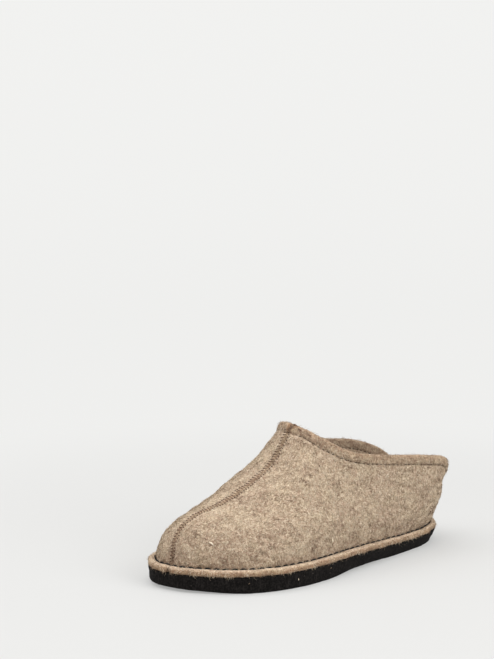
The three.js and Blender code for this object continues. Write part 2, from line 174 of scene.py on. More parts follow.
# at_outer, at_inner, high_outer, high_inner, out_outer, out_inner,
# reach_outer, reach_inner, slide_outer, slide_inner, tilt_outer, tilt_inner, drop
TOP = np.array([
    [0.1133, 0.1133, 0.4817, 0.4817, 0.000, 0.000, 0.000, 0.000, 0.138, 0.138, 0.00, 0.00, 0.02],
    [0.1358, 0.1358, 0.4917, 0.4917, 0.000, 0.000, 0.105, 0.112, 0.155, 0.168, 0.02, 0.03, 0.02],
    [0.1734, 0.1734, 0.5092, 0.5092, 0.000, 0.000, 0.185, 0.205, 0.115, 0.140, 0.04, 0.06, 0.02],
    [0.2184, 0.2184, 0.5376, 0.5376, 0.000, 0.000, 0.235, 0.275, 0.075, 0.095, 0.07, 0.10, 0.02],
    [0.2634, 0.2634, 0.5798, 0.5798, 0.000, 0.000, 0.255, 0.325, 0.035, 0.050, 0.10, 0.16, 0.02],
    [0.3159, 0.3159, 0.6459, 0.6459, 0.000, 0.000, 0.260, 0.355, 0.010, 0.015, 0.11, 0.22, 0.02],
    [0.3760, 0.3760, 0.7450, 0.7450, 0.000, 0.000, 0.250, 0.355, 0.000, 0.000, 0.10, 0.27, 0.02],
    [0.4503, 0.4503, 1.0000, 1.0000, 0.000, 0.000, 0.215, 0.260, 0.000, 0.000, 0.06, 0.10, 0.02],
    [0.4623, 0.4574, 0.9752, 0.9963, 0.124, 0.124, 0.135, 0.150, 0.000, 0.000, 0.00, 0.00, 0.10],
    [0.4961, 0.4904, 0.9083, 0.9294, 0.233, 0.233, 0.065, 0.065, 0.000, 0.000, 0.00, 0.00, 0.26],
    [0.5734, 0.5674, 0.8073, 0.8239, 0.314, 0.314, 0.025, 0.025, 0.000, 0.000, 0.00, 0.00, 0.34],
    [0.6912, 0.6882, 0.7523, 0.7761, 0.346, 0.346, 0.010, 0.010, 0.000, 0.000, 0.00, 0.00, 0.36],
    [0.8413, 0.8113, 0.7064, 0.7303, 0.354, 0.346, 0.004, 0.004, 0.000, 0.000, 0.00, 0.00, 0.36],
    [0.9501, 0.9032, 0.6495, 0.6468, 0.328, 0.310, 0.000, 0.000, 0.000, 0.000, 0.00, 0.00, 0.36],
    [0.9869, 0.9707, 0.5229, 0.5092, 0.181, 0.195, 0.000, 0.000, 0.000, 0.000, 0.00, 0.00, 0.36],
    [0.9970, 0.9970, 0.4633, 0.4633, 0.000, 0.000, 0.000, 0.000, 0.000, 0.000, 0.00, 0.00, 0.36],
])
print("Rows:", len(EDGE), "and columns:", EDGE.shape[1], "+", TOP.shape[1])


# %% [markdown]
# ## From the table to the surface
# The sole edge and the collar rim are closed curves, and the centre seam is an open one. A rib is a cubic
# with two handles: one rises from the foot and leans out with the wall, the other runs sideways from the
# top, as felt does where it is stretched over the instep. Points are then spaced along it by real length.

# %% The sole edge, the collar rim, the centre seam and the heights of the sole
def place_y(share):
    """A share of the length, counted from the toe, as a place on the Y axis."""
    return (np.asarray(share, float) - 0.5) * LENGTH


def ring_points(outer, inner):
    """Closed ring of points: the outer side first, then the inner side back without its two end points."""
    return np.vstack([outer, inner[-2:0:-1]])


def flat_point(out, at):
    """Points on the ground plane from a share of the ball width and a share of the length."""
    return np.stack([out * BALL_WIDTH, place_y(at), 0 * out], axis=-1)


EDGE_RING = ring_points(flat_point(EDGE[:, 1], EDGE[:, 0]), flat_point(-EDGE[:, 3], EDGE[:, 2]))
RIM_OUTER = flat_point(TOP[THROAT:, 4], TOP[THROAT:, 0])
RIM_INNER = flat_point(-TOP[THROAT:, 5], TOP[THROAT:, 1])
RIM_OUTER[:, 2] = TOP[THROAT:, 2] * THROAT_HEIGHT
RIM_INNER[:, 2] = TOP[THROAT:, 3] * THROAT_HEIGHT
RIM_RING = ring_points(RIM_OUTER, RIM_INNER)
SEAM_LINE = flat_point(0 * TOP[: THROAT + 1, 0], TOP[: THROAT + 1, 0])
SEAM_LINE[:, 2] = TOP[: THROAT + 1, 2] * THROAT_HEIGHT


def edge_at(side, row):
    """Point of the sole edge and its outward direction, square to the chord between two close neighbours."""
    share = np.where(side > 0, row, 2 * LAST - row) / (2 * LAST)
    ahead = through(EDGE_RING, share + 0.0015, True) - through(EDGE_RING, share - 0.0015, True)
    out = unit(np.stack([ahead[..., 1], -ahead[..., 0], 0 * ahead[..., 0]], axis=-1))
    return through(EDGE_RING, share, True), out


def sole_bottom(y):
    """Height of the sole's underside: it lifts at the toe and under the waist, and is flat between."""
    s = y / LENGTH + 0.5
    return TOE_SPRING * (1 - ease(0, 0.16, s)) + WAIST_ARCH * ease(0.42, 0.55, s) * (1 - ease(0.60, 0.74, s))


def sole_top(y):
    """Height of the sole's upper face: thick in front, thinner at the heel, with half of the waist's lift."""
    s = y / LENGTH + 0.5
    thick = SOLE_FRONT + (SOLE_HEEL - SOLE_FRONT) * ease(0.35, 0.80, s)
    lift = 0.5 * WAIST_ARCH * ease(0.36, 0.55, s) * (1 - ease(0.60, 0.80, s))
    return thick + 0.3 * TOE_SPRING * (1 - ease(0, 0.16, s)) + lift


def flange_width(y):
    """Width of the felt that is turned outwards, narrower round the heel."""
    return FLANGE_WIDTH + (FLANGE_HEEL - FLANGE_WIDTH) * ease(0.55, 0.90, y / LENGTH + 0.5)


y_samples = place_y(np.array([0.0, 0.3, 0.6, 0.95]))
print("Sole underside at four places, mm:", sole_bottom(y_samples).round(2))
print("Sole thickness there, mm:", (sole_top(y_samples) - sole_bottom(y_samples)).round(2))

# %% Ribs
RIB_STEPS = 64


def rib_lines(side, row):
    """Fine points of the ribs from the top down: cubic with the foot, a handle that rises and leans outwards,
    a handle that reaches sideways from the top, and the top itself. Also the length run at each point."""
    edge, out = edge_at(side, row)
    foot = edge - out * flange_width(edge[:, 1])[:, None]
    foot[:, 2] = sole_top(foot[:, 1]) + GAP + FLANGE_THICK
    in_vamp = row <= THROAT
    rim_share = np.where(side > 0, row - THROAT, len(RIM_RING) - (row - THROAT)) / len(RIM_RING)
    seam = through(SEAM_LINE, row / THROAT, False)
    top = np.where(in_vamp[:, None], seam, through(RIM_RING, rim_share, True))
    back = np.maximum(0, row - 0.02)
    ahead = through(SEAM_LINE, back / THROAT, False) - through(SEAM_LINE, (back + 0.04) / THROAT, False)
    ahead = unit(ahead) * in_vamp[:, None]
    turn = ease(THROAT, THROAT + 2.5, row)[:, None]
    sideways = unit(np.stack([side * 1.0, 0 * row, 0 * row], axis=-1) * (1 - turn) + out * turn)
    high = top[:, 2] - foot[:, 2]
    outer = side > 0
    lean = down_column(EDGE[:, 5], row) * BALL_WIDTH
    reach = np.where(outer, down_column(TOP[:, 6], row, True), down_column(TOP[:, 7], row, True))
    reach = np.maximum(0, reach) * BALL_WIDTH
    slide = np.where(outer, down_column(TOP[:, 8], row), down_column(TOP[:, 9], row)) * BALL_WIDTH
    tilt = np.where(outer, down_column(TOP[:, 10], row), down_column(TOP[:, 11], row))
    drop = down_column(TOP[:, 12], row) * high + side * reach * tilt
    low_handle = foot + out * lean[:, None]
    low_handle[:, 2] += down_column(EDGE[:, 4], row) * high
    high_handle = top + sideways * reach[:, None] + ahead * slide[:, None]
    high_handle[:, 2] -= drop
    u = np.linspace(1, 0, RIB_STEPS + 1)[None, :, None]
    a, b, c, d = [q[:, None, :] for q in (foot, low_handle, high_handle, top)]
    line = a * (1 - u) ** 3 + 3 * b * u * (1 - u) ** 2 + 3 * c * u**2 * (1 - u) + d * u**3
    steps = np.linalg.norm(np.diff(line, axis=1), axis=-1)
    run = np.concatenate([np.zeros((len(row), 1)), steps.cumsum(1)], 1)
    return line, run


def along_ribs(line, run, want):
    """Points of the ribs at the wanted lengths from their tops, straight between the fine points."""
    i = np.clip((run[:, None, :] <= want[:, :, None]).sum(-1) - 1, 0, RIB_STEPS - 1)
    j = np.arange(len(line))[:, None]
    k = np.clip((want - run[j, i]) / np.maximum(run[j, i + 1] - run[j, i], 1e-9), 0, 1)[..., None]
    return line[j, i] * (1 - k) + line[j, i + 1] * k


toe_line, toe_run = rib_lines(np.array([1.0]), np.array([0.0]))
print("The toe seam is", round(float(toe_run[0, -1]), 1), "mm long")

# %% [markdown]
# ## The grid of the upper
# The grid is closest where something small happens: at the hem with its stitch groove, along the centre
# seam, and round the throat. Elsewhere a step is about 1.5 mm, which is finer than any fold of thick felt.

# %% Columns round the shoe and rows down the ribs
# first row, last row and columns between them
spans = [(0, 1, 20), (1, 5, 52), (5, 6.6, 20), (6.6, 7, 9), (7, 9, 30), (9, 12, 34), (12, 15, 40)]
HALF_ROWS = np.concatenate([np.linspace(low, high, steps, endpoint=False) for low, high, steps in spans])
COLUMN_ROW = np.concatenate([HALF_ROWS, [LAST], HALF_ROWS[:0:-1]])
COLUMN_SIDE = np.concatenate([np.ones(len(HALF_ROWS) + 1), -np.ones(len(HALF_ROWS) - 1)])
# mm down a rib from its top, close together at the hem, its groove and the seam
NEAR_TOP = np.array([
    0, 0.3, 0.7, 1.2, 1.8, 2.4, 3.1, 3.9, 4.8, 5.7, 6.3, 6.8, 7.2, 7.6, 8.0, 8.5, 9.1, 10, 11.2,
])
EVEN_STEPS = 54

rib_line, rib_run = rib_lines(COLUMN_SIDE, COLUMN_ROW)
rib_total = rib_run[:, -1:]
even = NEAR_TOP[-1] + (rib_total - NEAR_TOP[-1]) * np.arange(1, EVEN_STEPS + 1) / EVEN_STEPS
DOWN = np.concatenate([np.broadcast_to(NEAR_TOP, (len(COLUMN_ROW), len(NEAR_TOP))), even], axis=1)
base_grid = along_ribs(rib_line, rib_run, DOWN)
COLUMNS, ROWS_DOWN = base_grid.shape[:2]
print("Columns:", COLUMNS, "rows down:", ROWS_DOWN, "longest rib, mm:", round(float(rib_total.max()), 1))


# %% [markdown]
# ## Meshes from grids
# Neighbouring points of a grid make four-cornered faces. Where the grid closes on itself, such as on the
# centre seam, equal points become one and folded faces are dropped. Normals follow from the faces, evened
# out with their neighbours, and the relief of the felt is laid on along them.

# %% Mesh helpers
def grid_faces(columns, rows, closed):
    """Corner numbers of the faces of a grid: each point with its right, diagonal and lower neighbours."""
    j = np.arange(columns if closed else columns - 1)[:, None]
    k = np.arange(rows - 1)[None, :]
    right = (j + 1) % columns
    here = j * rows + k
    beside = right * rows + k
    return np.stack([here, here + 1, beside + 1, beside], -1).reshape(-1, 4)


def weld(points, faces):
    """Points closer than about a thousandth of a millimetre become one. Returns which points to keep, each
    point's number among them, the four-cornered faces, and the three-cornered ones where two corners met."""
    _, first, same = np.unique(np.round(points, 3), axis=0, return_index=True, return_inverse=True)
    same = same.reshape(-1)
    faces = same[faces]
    differs = faces != np.roll(faces, -1, axis=1)
    corners = differs.sum(1)
    quads = faces[corners == 4]
    quads = quads[(quads[:, 0] != quads[:, 2]) & (quads[:, 1] != quads[:, 3])]
    three = corners == 3
    tris = faces[three][differs[three]].reshape(-1, 3)
    return first, same, quads, tris


def split_faces(quads, tris):
    """All faces as triangles."""
    return np.vstack([quads[:, [0, 1, 2]], quads[:, [0, 2, 3]], tris])


def point_normals(points, triangles):
    """Normal of each point: the sum of the cross products of two sides of the triangles that meet there."""
    a, b, c = [points[triangles[:, i]] for i in range(3)]
    face = np.cross(b - a, c - a)
    total = np.stack([
        np.bincount(triangles.ravel(), np.repeat(face[:, i], 3), minlength=len(points)) for i in range(3)
    ], -1)
    return unit(total)


def evened(values, triangles, passes):
    """Each value is replaced again and again by the mean of itself and its neighbours."""
    a, b, c = triangles.T
    here = np.concatenate([a, a, b, b, c, c])
    there = np.concatenate([b, c, a, c, a, b])
    share = np.bincount(here, minlength=len(values))[:, None] + 2.0
    for _ in range(passes):
        near = np.stack([np.bincount(here, v[there], minlength=len(values)) for v in values.T], -1)
        values = (near + 2 * values) / share
    return values


def volume_of(points, triangles):
    """Volume inside a closed surface: a sixth of the sum of the triple products of its triangles."""
    a, b, c = [points[triangles[:, i]] for i in range(3)]
    return float(np.einsum("ij,ij->i", a, np.cross(b, c)).sum() / 6)


def add_piece(name, points, quads, tris, material, attributes=None, closed=True):
    """Makes a Blender object from points in millimetres, turned so that its faces point outwards."""
    triangles = split_faces(quads, tris)
    if closed and volume_of(points, triangles) < 0:
        quads = quads[:, ::-1]
        tris = tris[:, ::-1]
    mesh = bpy.data.meshes.new(name)
    mesh.vertices.add(len(points))
    mesh.vertices.foreach_set("co", (points * MM).astype(np.float32).ravel())
    mesh.loops.add(quads.size + tris.size)
    mesh.loops.foreach_set("vertex_index", np.concatenate([quads.ravel(), tris.ravel()]).astype(np.int32))
    starts = np.concatenate([np.arange(len(quads)) * 4, quads.size + np.arange(len(tris)) * 3])
    mesh.polygons.add(len(starts))
    mesh.polygons.foreach_set("loop_start", starts.astype(np.int32))
    mesh.polygons.foreach_set("use_smooth", np.ones(len(starts), bool))
    mesh.update(calc_edges=True)
    for key, values in (attributes or {}).items():
        layer = mesh.attributes.new(key, "FLOAT", "POINT")
        layer.data.foreach_set("value", np.asarray(values, np.float32))
    mesh.materials.append(material)
    piece = bpy.data.objects.new(name, mesh)
    bpy.context.scene.collection.objects.link(piece)
    count = 2 * len(quads) + len(tris)
    print(f"{name}: {len(points)} points, {count} triangles")
    return piece


def distance_to(points, line):
    """Distance of each point to a polyline: for each of its pieces, to the nearest place on that piece."""
    best = np.full(len(points), np.inf)
    for a, b in zip(line[:-1], line[1:], strict=True):
        ab = b - a
        k = np.clip((points - a) @ ab / max(float(ab @ ab), 1e-9), 0, 1)[:, None]
        best = np.minimum(best, ((points - a - ab * k) ** 2).sum(-1))
    return np.sqrt(best)


def ripple(points, wavelength, seed, waves=20):
    """Soft lumps of about unit size: the mean of plane waves of one length in random directions."""
    dice = np.random.default_rng(seed)
    heading = unit(dice.normal(size=(3, waves))).T
    heading = unit(heading) * (2 * np.pi / wavelength)
    return np.sin(points @ heading.T + dice.uniform(0, 2 * np.pi, waves)).sum(-1) / math.sqrt(waves / 2)


def hump(x, width):
    """Bell shape: 1 in the middle, falling with the square of the distance over the width."""
    return np.exp(-((np.asarray(x) / width) ** 2))


base_faces = grid_faces(COLUMNS, ROWS_DOWN, True)
base_first, base_same, base_quads, base_tris = weld(base_grid.reshape(-1, 3), base_faces)
base_points = base_grid.reshape(-1, 3)[base_first]
base_triangles = split_faces(base_quads, base_tris)
print("Points of the bare surface:", len(base_points), "triangles:", len(base_triangles))

# %% [markdown]
# ## The shape of the felt
# Felt has no sharp folds. What shows is the turned hem at the collar with its stitch groove, a trough along
# the centre seam, a few soft dents where the wall gives, and a restless, lumpy surface. Each dent is given
# as a line between two spots of the surface, with a width and a depth, and fades off like a bell.

# %% Relief of the upper
HEM_WIDTH = 7.4
HEM_STEP = 0.5
HEM_PILLOW = 0.25
GROOVE_DEPTH = 0.75
GROOVE_AT = HEM_WIDTH + 0.2
GROOVE_WIDTH = 0.8
SEAM_DEPTH = 0.85
SEAM_WIDTH = 1.1
NORMAL_PASSES = 45

base_normals = point_normals(base_points, base_triangles)
base_normals = unit(evened(base_normals, base_triangles, NORMAL_PASSES))
if (base_normals * (base_points - [0, 0, 40])).sum() < 0:
    base_normals = -base_normals
seam_top = through(SEAM_LINE, np.linspace(1, 0, 90), False)
SEAM_PATH = np.vstack([seam_top, toe_line[0][1:]])
RIM_PATH = through(RIM_RING, np.linspace(0, 1, 260), True)
to_rim = distance_to(base_points, RIM_PATH)
to_seam = distance_to(base_points, SEAM_PATH)
foot_high = sole_top(base_points[:, 1]) + GAP + FLANGE_THICK
above_foot = base_points[:, 2] - foot_high

# side, row and share down the rib where a soft crease starts and ends, its width and its rise, mm
CREASES = np.array([
    [1, 11.35, 0.16, 11.55, 0.62, 4.6, -0.55],
    [1, 11.85, 0.14, 11.95, 0.50, 3.8, 0.35],
    [1, 12.35, 0.16, 12.30, 0.70, 4.4, -0.60],
    [1, 12.95, 0.18, 12.85, 0.55, 3.6, -0.40],
    [1, 13.60, 0.20, 13.50, 0.75, 5.0, -0.50],
    [1, 7.60, 0.24, 10.60, 0.30, 9.0, -0.75],
    [1, 8.40, 0.62, 10.40, 0.55, 12.0, -0.60],
    [1, 4.60, 0.46, 6.90, 0.58, 12.0, -0.80],
    [1, 1.60, 0.42, 2.90, 0.60, 8.0, -0.55],
    [1, 3.10, 0.36, 4.00, 0.70, 9.0, 0.40],
    [1, 9.60, 0.80, 12.20, 0.84, 6.0, 0.35],
    [1, 0.25, 0.88, 0.90, 0.97, 3.0, -0.50],
    [-1, 0.30, 0.86, 1.10, 0.95, 3.2, -0.50],
    [-1, 1.90, 0.40, 3.00, 0.62, 8.0, -0.60],
    [-1, 4.40, 0.50, 6.80, 0.60, 12.0, -0.80],
    [-1, 7.80, 0.26, 10.40, 0.30, 9.0, -0.75],
    [-1, 11.60, 0.16, 11.80, 0.66, 4.6, -0.55],
    [-1, 12.60, 0.18, 12.50, 0.60, 4.2, -0.50],
    [-1, 13.60, 0.22, 13.50, 0.70, 4.8, -0.45],
    [1, 13.20, 0.30, 15.00, 0.34, 6.5, -1.70],
    [-1, 13.60, 0.32, 14.90, 0.34, 6.5, -1.20],
    [1, 13.80, 0.70, 15.00, 0.72, 6.0, 1.00],
    [1, 14.20, 0.10, 15.00, 0.10, 4.0, 0.40],
])
crease_relief = np.zeros(len(base_points))
for side, row_a, down_a, row_b, down_b, width, rise in CREASES:
    row = np.linspace(row_a, row_b, 9)
    line, run = rib_lines(np.full(9, side), row)
    spots = along_ribs(line, run, np.linspace(down_a, down_b, 9)[:, None] * run[:, -1:])[:, 0]
    crease_relief += rise * hump(distance_to(base_points, spots), width)

hem = HEM_STEP * (1 - ease(HEM_WIDTH - 0.9, HEM_WIDTH, to_rim))
pillow = np.sin(np.pi * np.clip(to_rim / HEM_WIDTH, 0, 1))
groove = hump(to_rim - GROOVE_AT, GROOVE_WIDTH)
hem = hem + HEM_PILLOW * pillow - GROOVE_DEPTH * groove
seam_trough = -SEAM_DEPTH * hump(to_seam, SEAM_WIDTH) + 0.22 * hump(to_seam - 3.4, 1.6)
fade = ease(0, 1.6, to_rim) * ease(0, 3, above_foot)
lumps = 0.16 * ripple(base_points, 5.5, 3) + 0.20 * ripple(base_points, 15, 4)
lumps = lumps + 0.28 * ripple(base_points, 42, 5)
lumpy = ease(0, 4, above_foot) * (0.3 + 0.7 * ease(2, 14, to_rim))
relief = (hem + seam_trough + crease_relief) * fade + lumps * lumpy
print("Relief from", relief.min().round(2), "to", relief.max().round(2), "mm")

# %% [markdown]
# ## The upper as one closed wall
# The outside runs from the rim or the seam down to the foot, out over the turned flange, back under it, and
# up the inside to the same rim, 3.6 mm further in. The flange is felt that a maker pressed outwards, so its
# edge wavers a little in and out and up and down, and its corners are soft.

# %% Build the upper
HALF_FELT = FELT / 2
rim_depth = np.clip(to_rim / HALF_FELT, 0, 1)
round_off = HALF_FELT * (1 - np.sqrt(np.maximum(0, 1 - (1 - rim_depth) ** 2)))


def on_grid(values):
    """Values of the welded points laid out again as columns and rows."""
    return values[base_same].reshape((COLUMNS, ROWS_DOWN) + values.shape[1:])


outside = on_grid(base_points + base_normals * (relief - round_off)[:, None])
inner_groove = 0.45 * groove - 0.2 * pillow
inner_lumps = 0.12 * ripple(base_points, 6, 13) + 0.2 * ripple(base_points, 18, 14)
inner_shift = round_off - FELT + (inner_groove + inner_lumps + crease_relief * 0.8) * fade
inside = on_grid(base_points + base_normals * inner_shift[:, None])
every_other = np.arange(len(NEAR_TOP), ROWS_DOWN - 1, 2)
INSIDE_ROWS = np.concatenate([np.arange(len(NEAR_TOP)), every_other, [ROWS_DOWN - 1]])
INSIDE_UPWARDS = INSIDE_ROWS[::-1]

edge_point, edge_out = edge_at(COLUMN_SIDE, COLUMN_ROW)
edge_step = np.linalg.norm(np.roll(edge_point, -1, axis=0) - edge_point, axis=1)
edge_run = np.concatenate([[0], edge_step.cumsum()[:-1]])
edge_length = float(edge_step.sum())


def round_wave(run, turns, phase):
    """A sine that fits a whole number of times round the sole edge."""
    return np.sin(2 * np.pi * turns * run / edge_length + phase)


wave_out = 0.34 * round_wave(edge_run, 29, 0.4) + 0.26 * round_wave(edge_run, 53, 1.9)
wave_out = wave_out + 0.2 * round_wave(edge_run, 12, 3)
wave_up = 0.26 * round_wave(edge_run, 23, 2.2) + 0.2 * round_wave(edge_run, 41, 0.7)
# One lobe of the flange stands out on the outer side of the heel, this far round the edge from the toe.
LOBE_RUN = 262.0
wave_out = wave_out + 1.1 * hump(edge_run - LOBE_RUN, 3.6) - 0.9 * hump(edge_run - LOBE_RUN - 6.5, 2.4)
wave_up = wave_up + 0.8 * hump(edge_run - LOBE_RUN, 3.6) - 0.5 * hump(edge_run - LOBE_RUN - 6.5, 2.4)
from_toe = np.where(edge_run < edge_length / 2, edge_run, edge_run - edge_length)
# At the toe the two halves of the flange meet in a notch, with a small swelling on either side.
TOE_NOTCH = 1.0
wave_out = wave_out - 2.2 * hump(from_toe - TOE_NOTCH, 1.5) + 1.0 * hump(from_toe + 3.4, 2.8)
wave_out = wave_out + 0.5 * hump(from_toe - 5, 2.6)
wave_up = wave_up - 1.5 * hump(from_toe - TOE_NOTCH, 1.6) + 0.7 * hump(from_toe + 3.4, 3.0)

# share of the flange width from its edge, height from its upper face in mm
FLANGE_PROFILE = np.array([
    [0.96, -0.30], [0.89, -0.50], [0.80, -0.40], [0.69, -0.12], [0.56, 0.06], [0.42, 0.16], [0.30, 0.18],
    [0.20, 0.06], [0.11, -0.28], [0.04, -0.85], [0.01, -1.60], [0.00, -2.40], [0.01, -3.15],
    [0.05, -3.85], [0.13, -4.28],
])
width = flange_width(edge_point[:, 1])[:, None]
# The felt is pressed on the rubber, nearer than the gap between the CAD solids.
PRESSED_GAP = 0.12
floor_of_felt = sole_top(edge_point[:, 1])[:, None] + PRESSED_GAP
share = FLANGE_PROFILE[None, :, 0]
free = 1 - np.clip(share, 0, 1)
inset = share * width - wave_out[:, None] * free
flange = edge_point[:, None, :] - edge_out[:, None, :] * inset[..., None]
high = floor_of_felt - PRESSED_GAP + GAP + FLANGE_THICK + FLANGE_PROFILE[None, :, 1]
raised = np.clip((FLANGE_PROFILE[None, :, 1] + FLANGE_THICK) / FLANGE_THICK, 0, 1)
high = high + wave_up[:, None] * free * raised
flange[..., 2] = high
rough = 0.13 * ripple(flange.reshape(-1, 3), 4.5, 8) + 0.10 * ripple(flange.reshape(-1, 3), 9, 9)
rough = rough.reshape(flange.shape[:2])
flange = flange + edge_out[:, None, :] * rough[..., None]
flange[..., 2] = np.maximum(high + 0.6 * rough, floor_of_felt)
under = inside[:, -1:, :].copy()
under[..., 2] = sole_top(under[..., 1]) + PRESSED_GAP
wall = np.concatenate([outside, flange, under, inside[:, INSIDE_UPWARDS]], axis=1)
wall_first, _, wall_quads, wall_tris = weld(wall.reshape(-1, 3), grid_faces(COLUMNS, wall.shape[1], True))
print("Length of the sole edge, mm:", round(edge_length, 1), "rows of the wall:", wall.shape[1])

# %% [markdown]
# ## Colour zones
# Two numbers ride along with each point of the felt. "shade" lightens or darkens it, and "warm" turns it
# browner. Much of the shade is painted light and shade: the ridge beside the seam and the top of the flange
# are paler, a painted highlight, while the stitch groove, the seam trough, the crease, the flange's cut side,
# the foot of the wall and the inside are darker, painted shade. The hem, the flange's cut side and the seam
# are browner.

# %% Shade and warmth of each point
PLAIN_SHADE = 0.52
throat_spot = seam_top[0] + np.array([2.6, -1.0, -3.0])
at_throat = np.sqrt(((base_points - throat_spot) ** 2).sum(-1))
hem_band = 1 - ease(HEM_WIDTH - 0.8, HEM_WIDTH + 0.8, to_rim)
outside_shade = PLAIN_SHADE - 0.05 * hump(to_rim, 1.6) - 0.13 * hem_band
# Painted shadow: darker along the hem's stitch groove.
outside_shade = outside_shade - 0.26 * hump(to_rim - GROOVE_AT, 0.9)
# Darker along the seam: painted shade in its trough. Its browner warmth, set below, is the seam's own colour.
outside_shade = outside_shade - 0.30 * hump(to_seam, 1.0) - 0.07 * hump(to_seam, 3.4)
# Painted highlight on the vamp about 8 mm either side of the seam; painted shade in the crease just above the
# flange.
outside_shade = outside_shade + 0.05 * hump(to_seam - 8, 5) - 0.18 * hump(above_foot, 1.8)
# Painted shade: darker towards the floor over the lowest few centimetres of the wall.
outside_shade = outside_shade - 0.13 * hump(above_foot, 20) - 0.22 * hump(at_throat, 4.0)
smudges = (0.03 + 0.08 * hem_band) * ripple(base_points, 4.4, 71)
smudges = smudges + 0.06 * hem_band * ripple(base_points, 9, 72)
outside_shade = outside_shade + smudges
outside_warm = 0.30 * hump(to_rim, 3.0) + 0.30 * hem_band + 0.60 * hump(to_seam, 1.8)
outside_warm = outside_warm + 0.3 * hump(above_foot, 2.0) + 0.8 * hump(at_throat, 4.5)
# shade at six heights of the flange's cut side, and on the four rows that lie in the crease: a painted
# highlight on the top of the flange, painted shade down its cut side and in the crease
SIDE_HEIGHTS = [-4.3, -3, -1.6, -0.9, -0.3, 0.2]
SIDE_LIGHT_AND_SHADE = [0.14, 0.20, 0.28, 0.46, 0.64, 0.64]
CREASE_PAINTED_SHADE = [0.20, 0.16, 0.34, 0.62]
flange_shade = np.interp(FLANGE_PROFILE[:, 1], SIDE_HEIGHTS, SIDE_LIGHT_AND_SHADE)
flange_shade[: len(CREASE_PAINTED_SHADE)] = CREASE_PAINTED_SHADE
flange_warm = np.interp(FLANGE_PROFILE[:, 1], [-2.4, -0.9, -0.3], [1.0, 0.6, 0.1])
spread = np.ones((COLUMNS, 1))
# Darker at the toe notch of the flange.
notch_darkening = -0.40 * hump(from_toe - TOE_NOTCH, 1.8)[:, None]
# Painted shade: the inside is much darker than the outside, and darker still in its groove.
inside_shade = 0.16 - 0.10 * groove - 0.05 * hump(to_rim, 2.2)
inside_shade = on_grid(inside_shade)[:, INSIDE_UPWARDS]
inside_warm = on_grid(0.3 + 0.2 * hump(to_rim, 3.0))[:, INSIDE_UPWARDS]
skin_shade = np.concatenate([on_grid(outside_shade), spread * flange_shade + notch_darkening], axis=1)
# The underside of the flange, pressed on the sole, gets a flat painted shade.
wall_shade = np.concatenate([skin_shade, spread * 0.3, inside_shade], axis=1)
wall_warm = np.concatenate([on_grid(outside_warm), spread * flange_warm, spread * 0.5, inside_warm], axis=1)
print("Shade from", wall_shade.min().round(2), "to", wall_shade.max().round(2))


# %% [markdown]
# ## Finishes
# A Blender material is a small machine of nodes. These helpers add a node, fill its sockets, and return
# what comes out, so that each finish below reads like a recipe.

# %% Node helpers
def node(tree, kind, inputs=None, **settings):
    """Adds a shader node. Its settings come first, then each input: a socket is linked, a value is set."""
    made = tree.nodes.new("ShaderNode" + kind)
    for key, value in settings.items():
        setattr(made, key, value)
    for key, value in (inputs or {}).items():
        if isinstance(value, bpy.types.NodeSocket):
            tree.links.new(value, made.inputs[key])
        else:
            made.inputs[key].default_value = value
    return made


def new_finish(name):
    """A fresh material: its node tree, its main shader and the place on the piece that patterns read."""
    material = bpy.data.materials.new(name)
    material.use_nodes = True
    tree = material.node_tree
    place = node(tree, "TexCoord").outputs["Object"]
    return material, tree, tree.nodes["Principled BSDF"], place


def grain(tree, place, size, turn=(0, 0, 0), detail=2.0, at=(0, 0, 0)):
    """Noise whose lumps have the given size in metres along three turned axes."""
    laid = node(tree, "Mapping", {"Vector": place, "Location": at, "Rotation": turn, "Scale": size},
                vector_type="TEXTURE")
    return node(tree, "TexNoise", {"Vector": laid.outputs[0], "Scale": 1.0, "Detail": detail}).outputs["Fac"]


def maths(tree, operation, a, b=0.0):
    """One sum with two values."""
    return node(tree, "Math", {0: a, 1: b}, operation=operation).outputs[0]


def stretch(tree, value, low, high, to_low=0.0, to_high=1.0):
    """Maps the range low..high softly to another range and holds it there."""
    made = node(tree, "MapRange", {"Value": value, "From Min": low, "From Max": high, "To Min": to_low,
                                   "To Max": to_high}, interpolation_type="SMOOTHSTEP")
    return made.outputs[0]


def blended(tree, share, low, high, mode="MIX"):
    """Colour between two colours, by a share."""
    made = node(tree, "Mix", {0: share, 6: low, 7: high}, data_type="RGBA", blend_type=mode)
    return made.outputs[2]


def colour(red, green, blue):
    """A colour with full cover."""
    return (red, green, blue, 1.0)


# %% [markdown]
# ## Felt
# Seen close, milled wool is a tangle of fibres in several shades: brown, pinkish grey, olive and cream.
# Each strand layer below is noise, over four times as long as wide, turned its own way. The brightest of
# the layers gives pale hairs and the darkest gives brown ones, so that short flecks cross in all directions.

# %% Felt finish
STRAND_TURNS = [(0.9, 0.2, 1.35), (-0.8, 0.1, 1.75), (0.3, -1.0, 1.2), (0.2, 1.0, 2.2), (0.1, 1.45, 0.3)]
STRAND_SIZE = (0.0050, 0.0011, 0.0011)


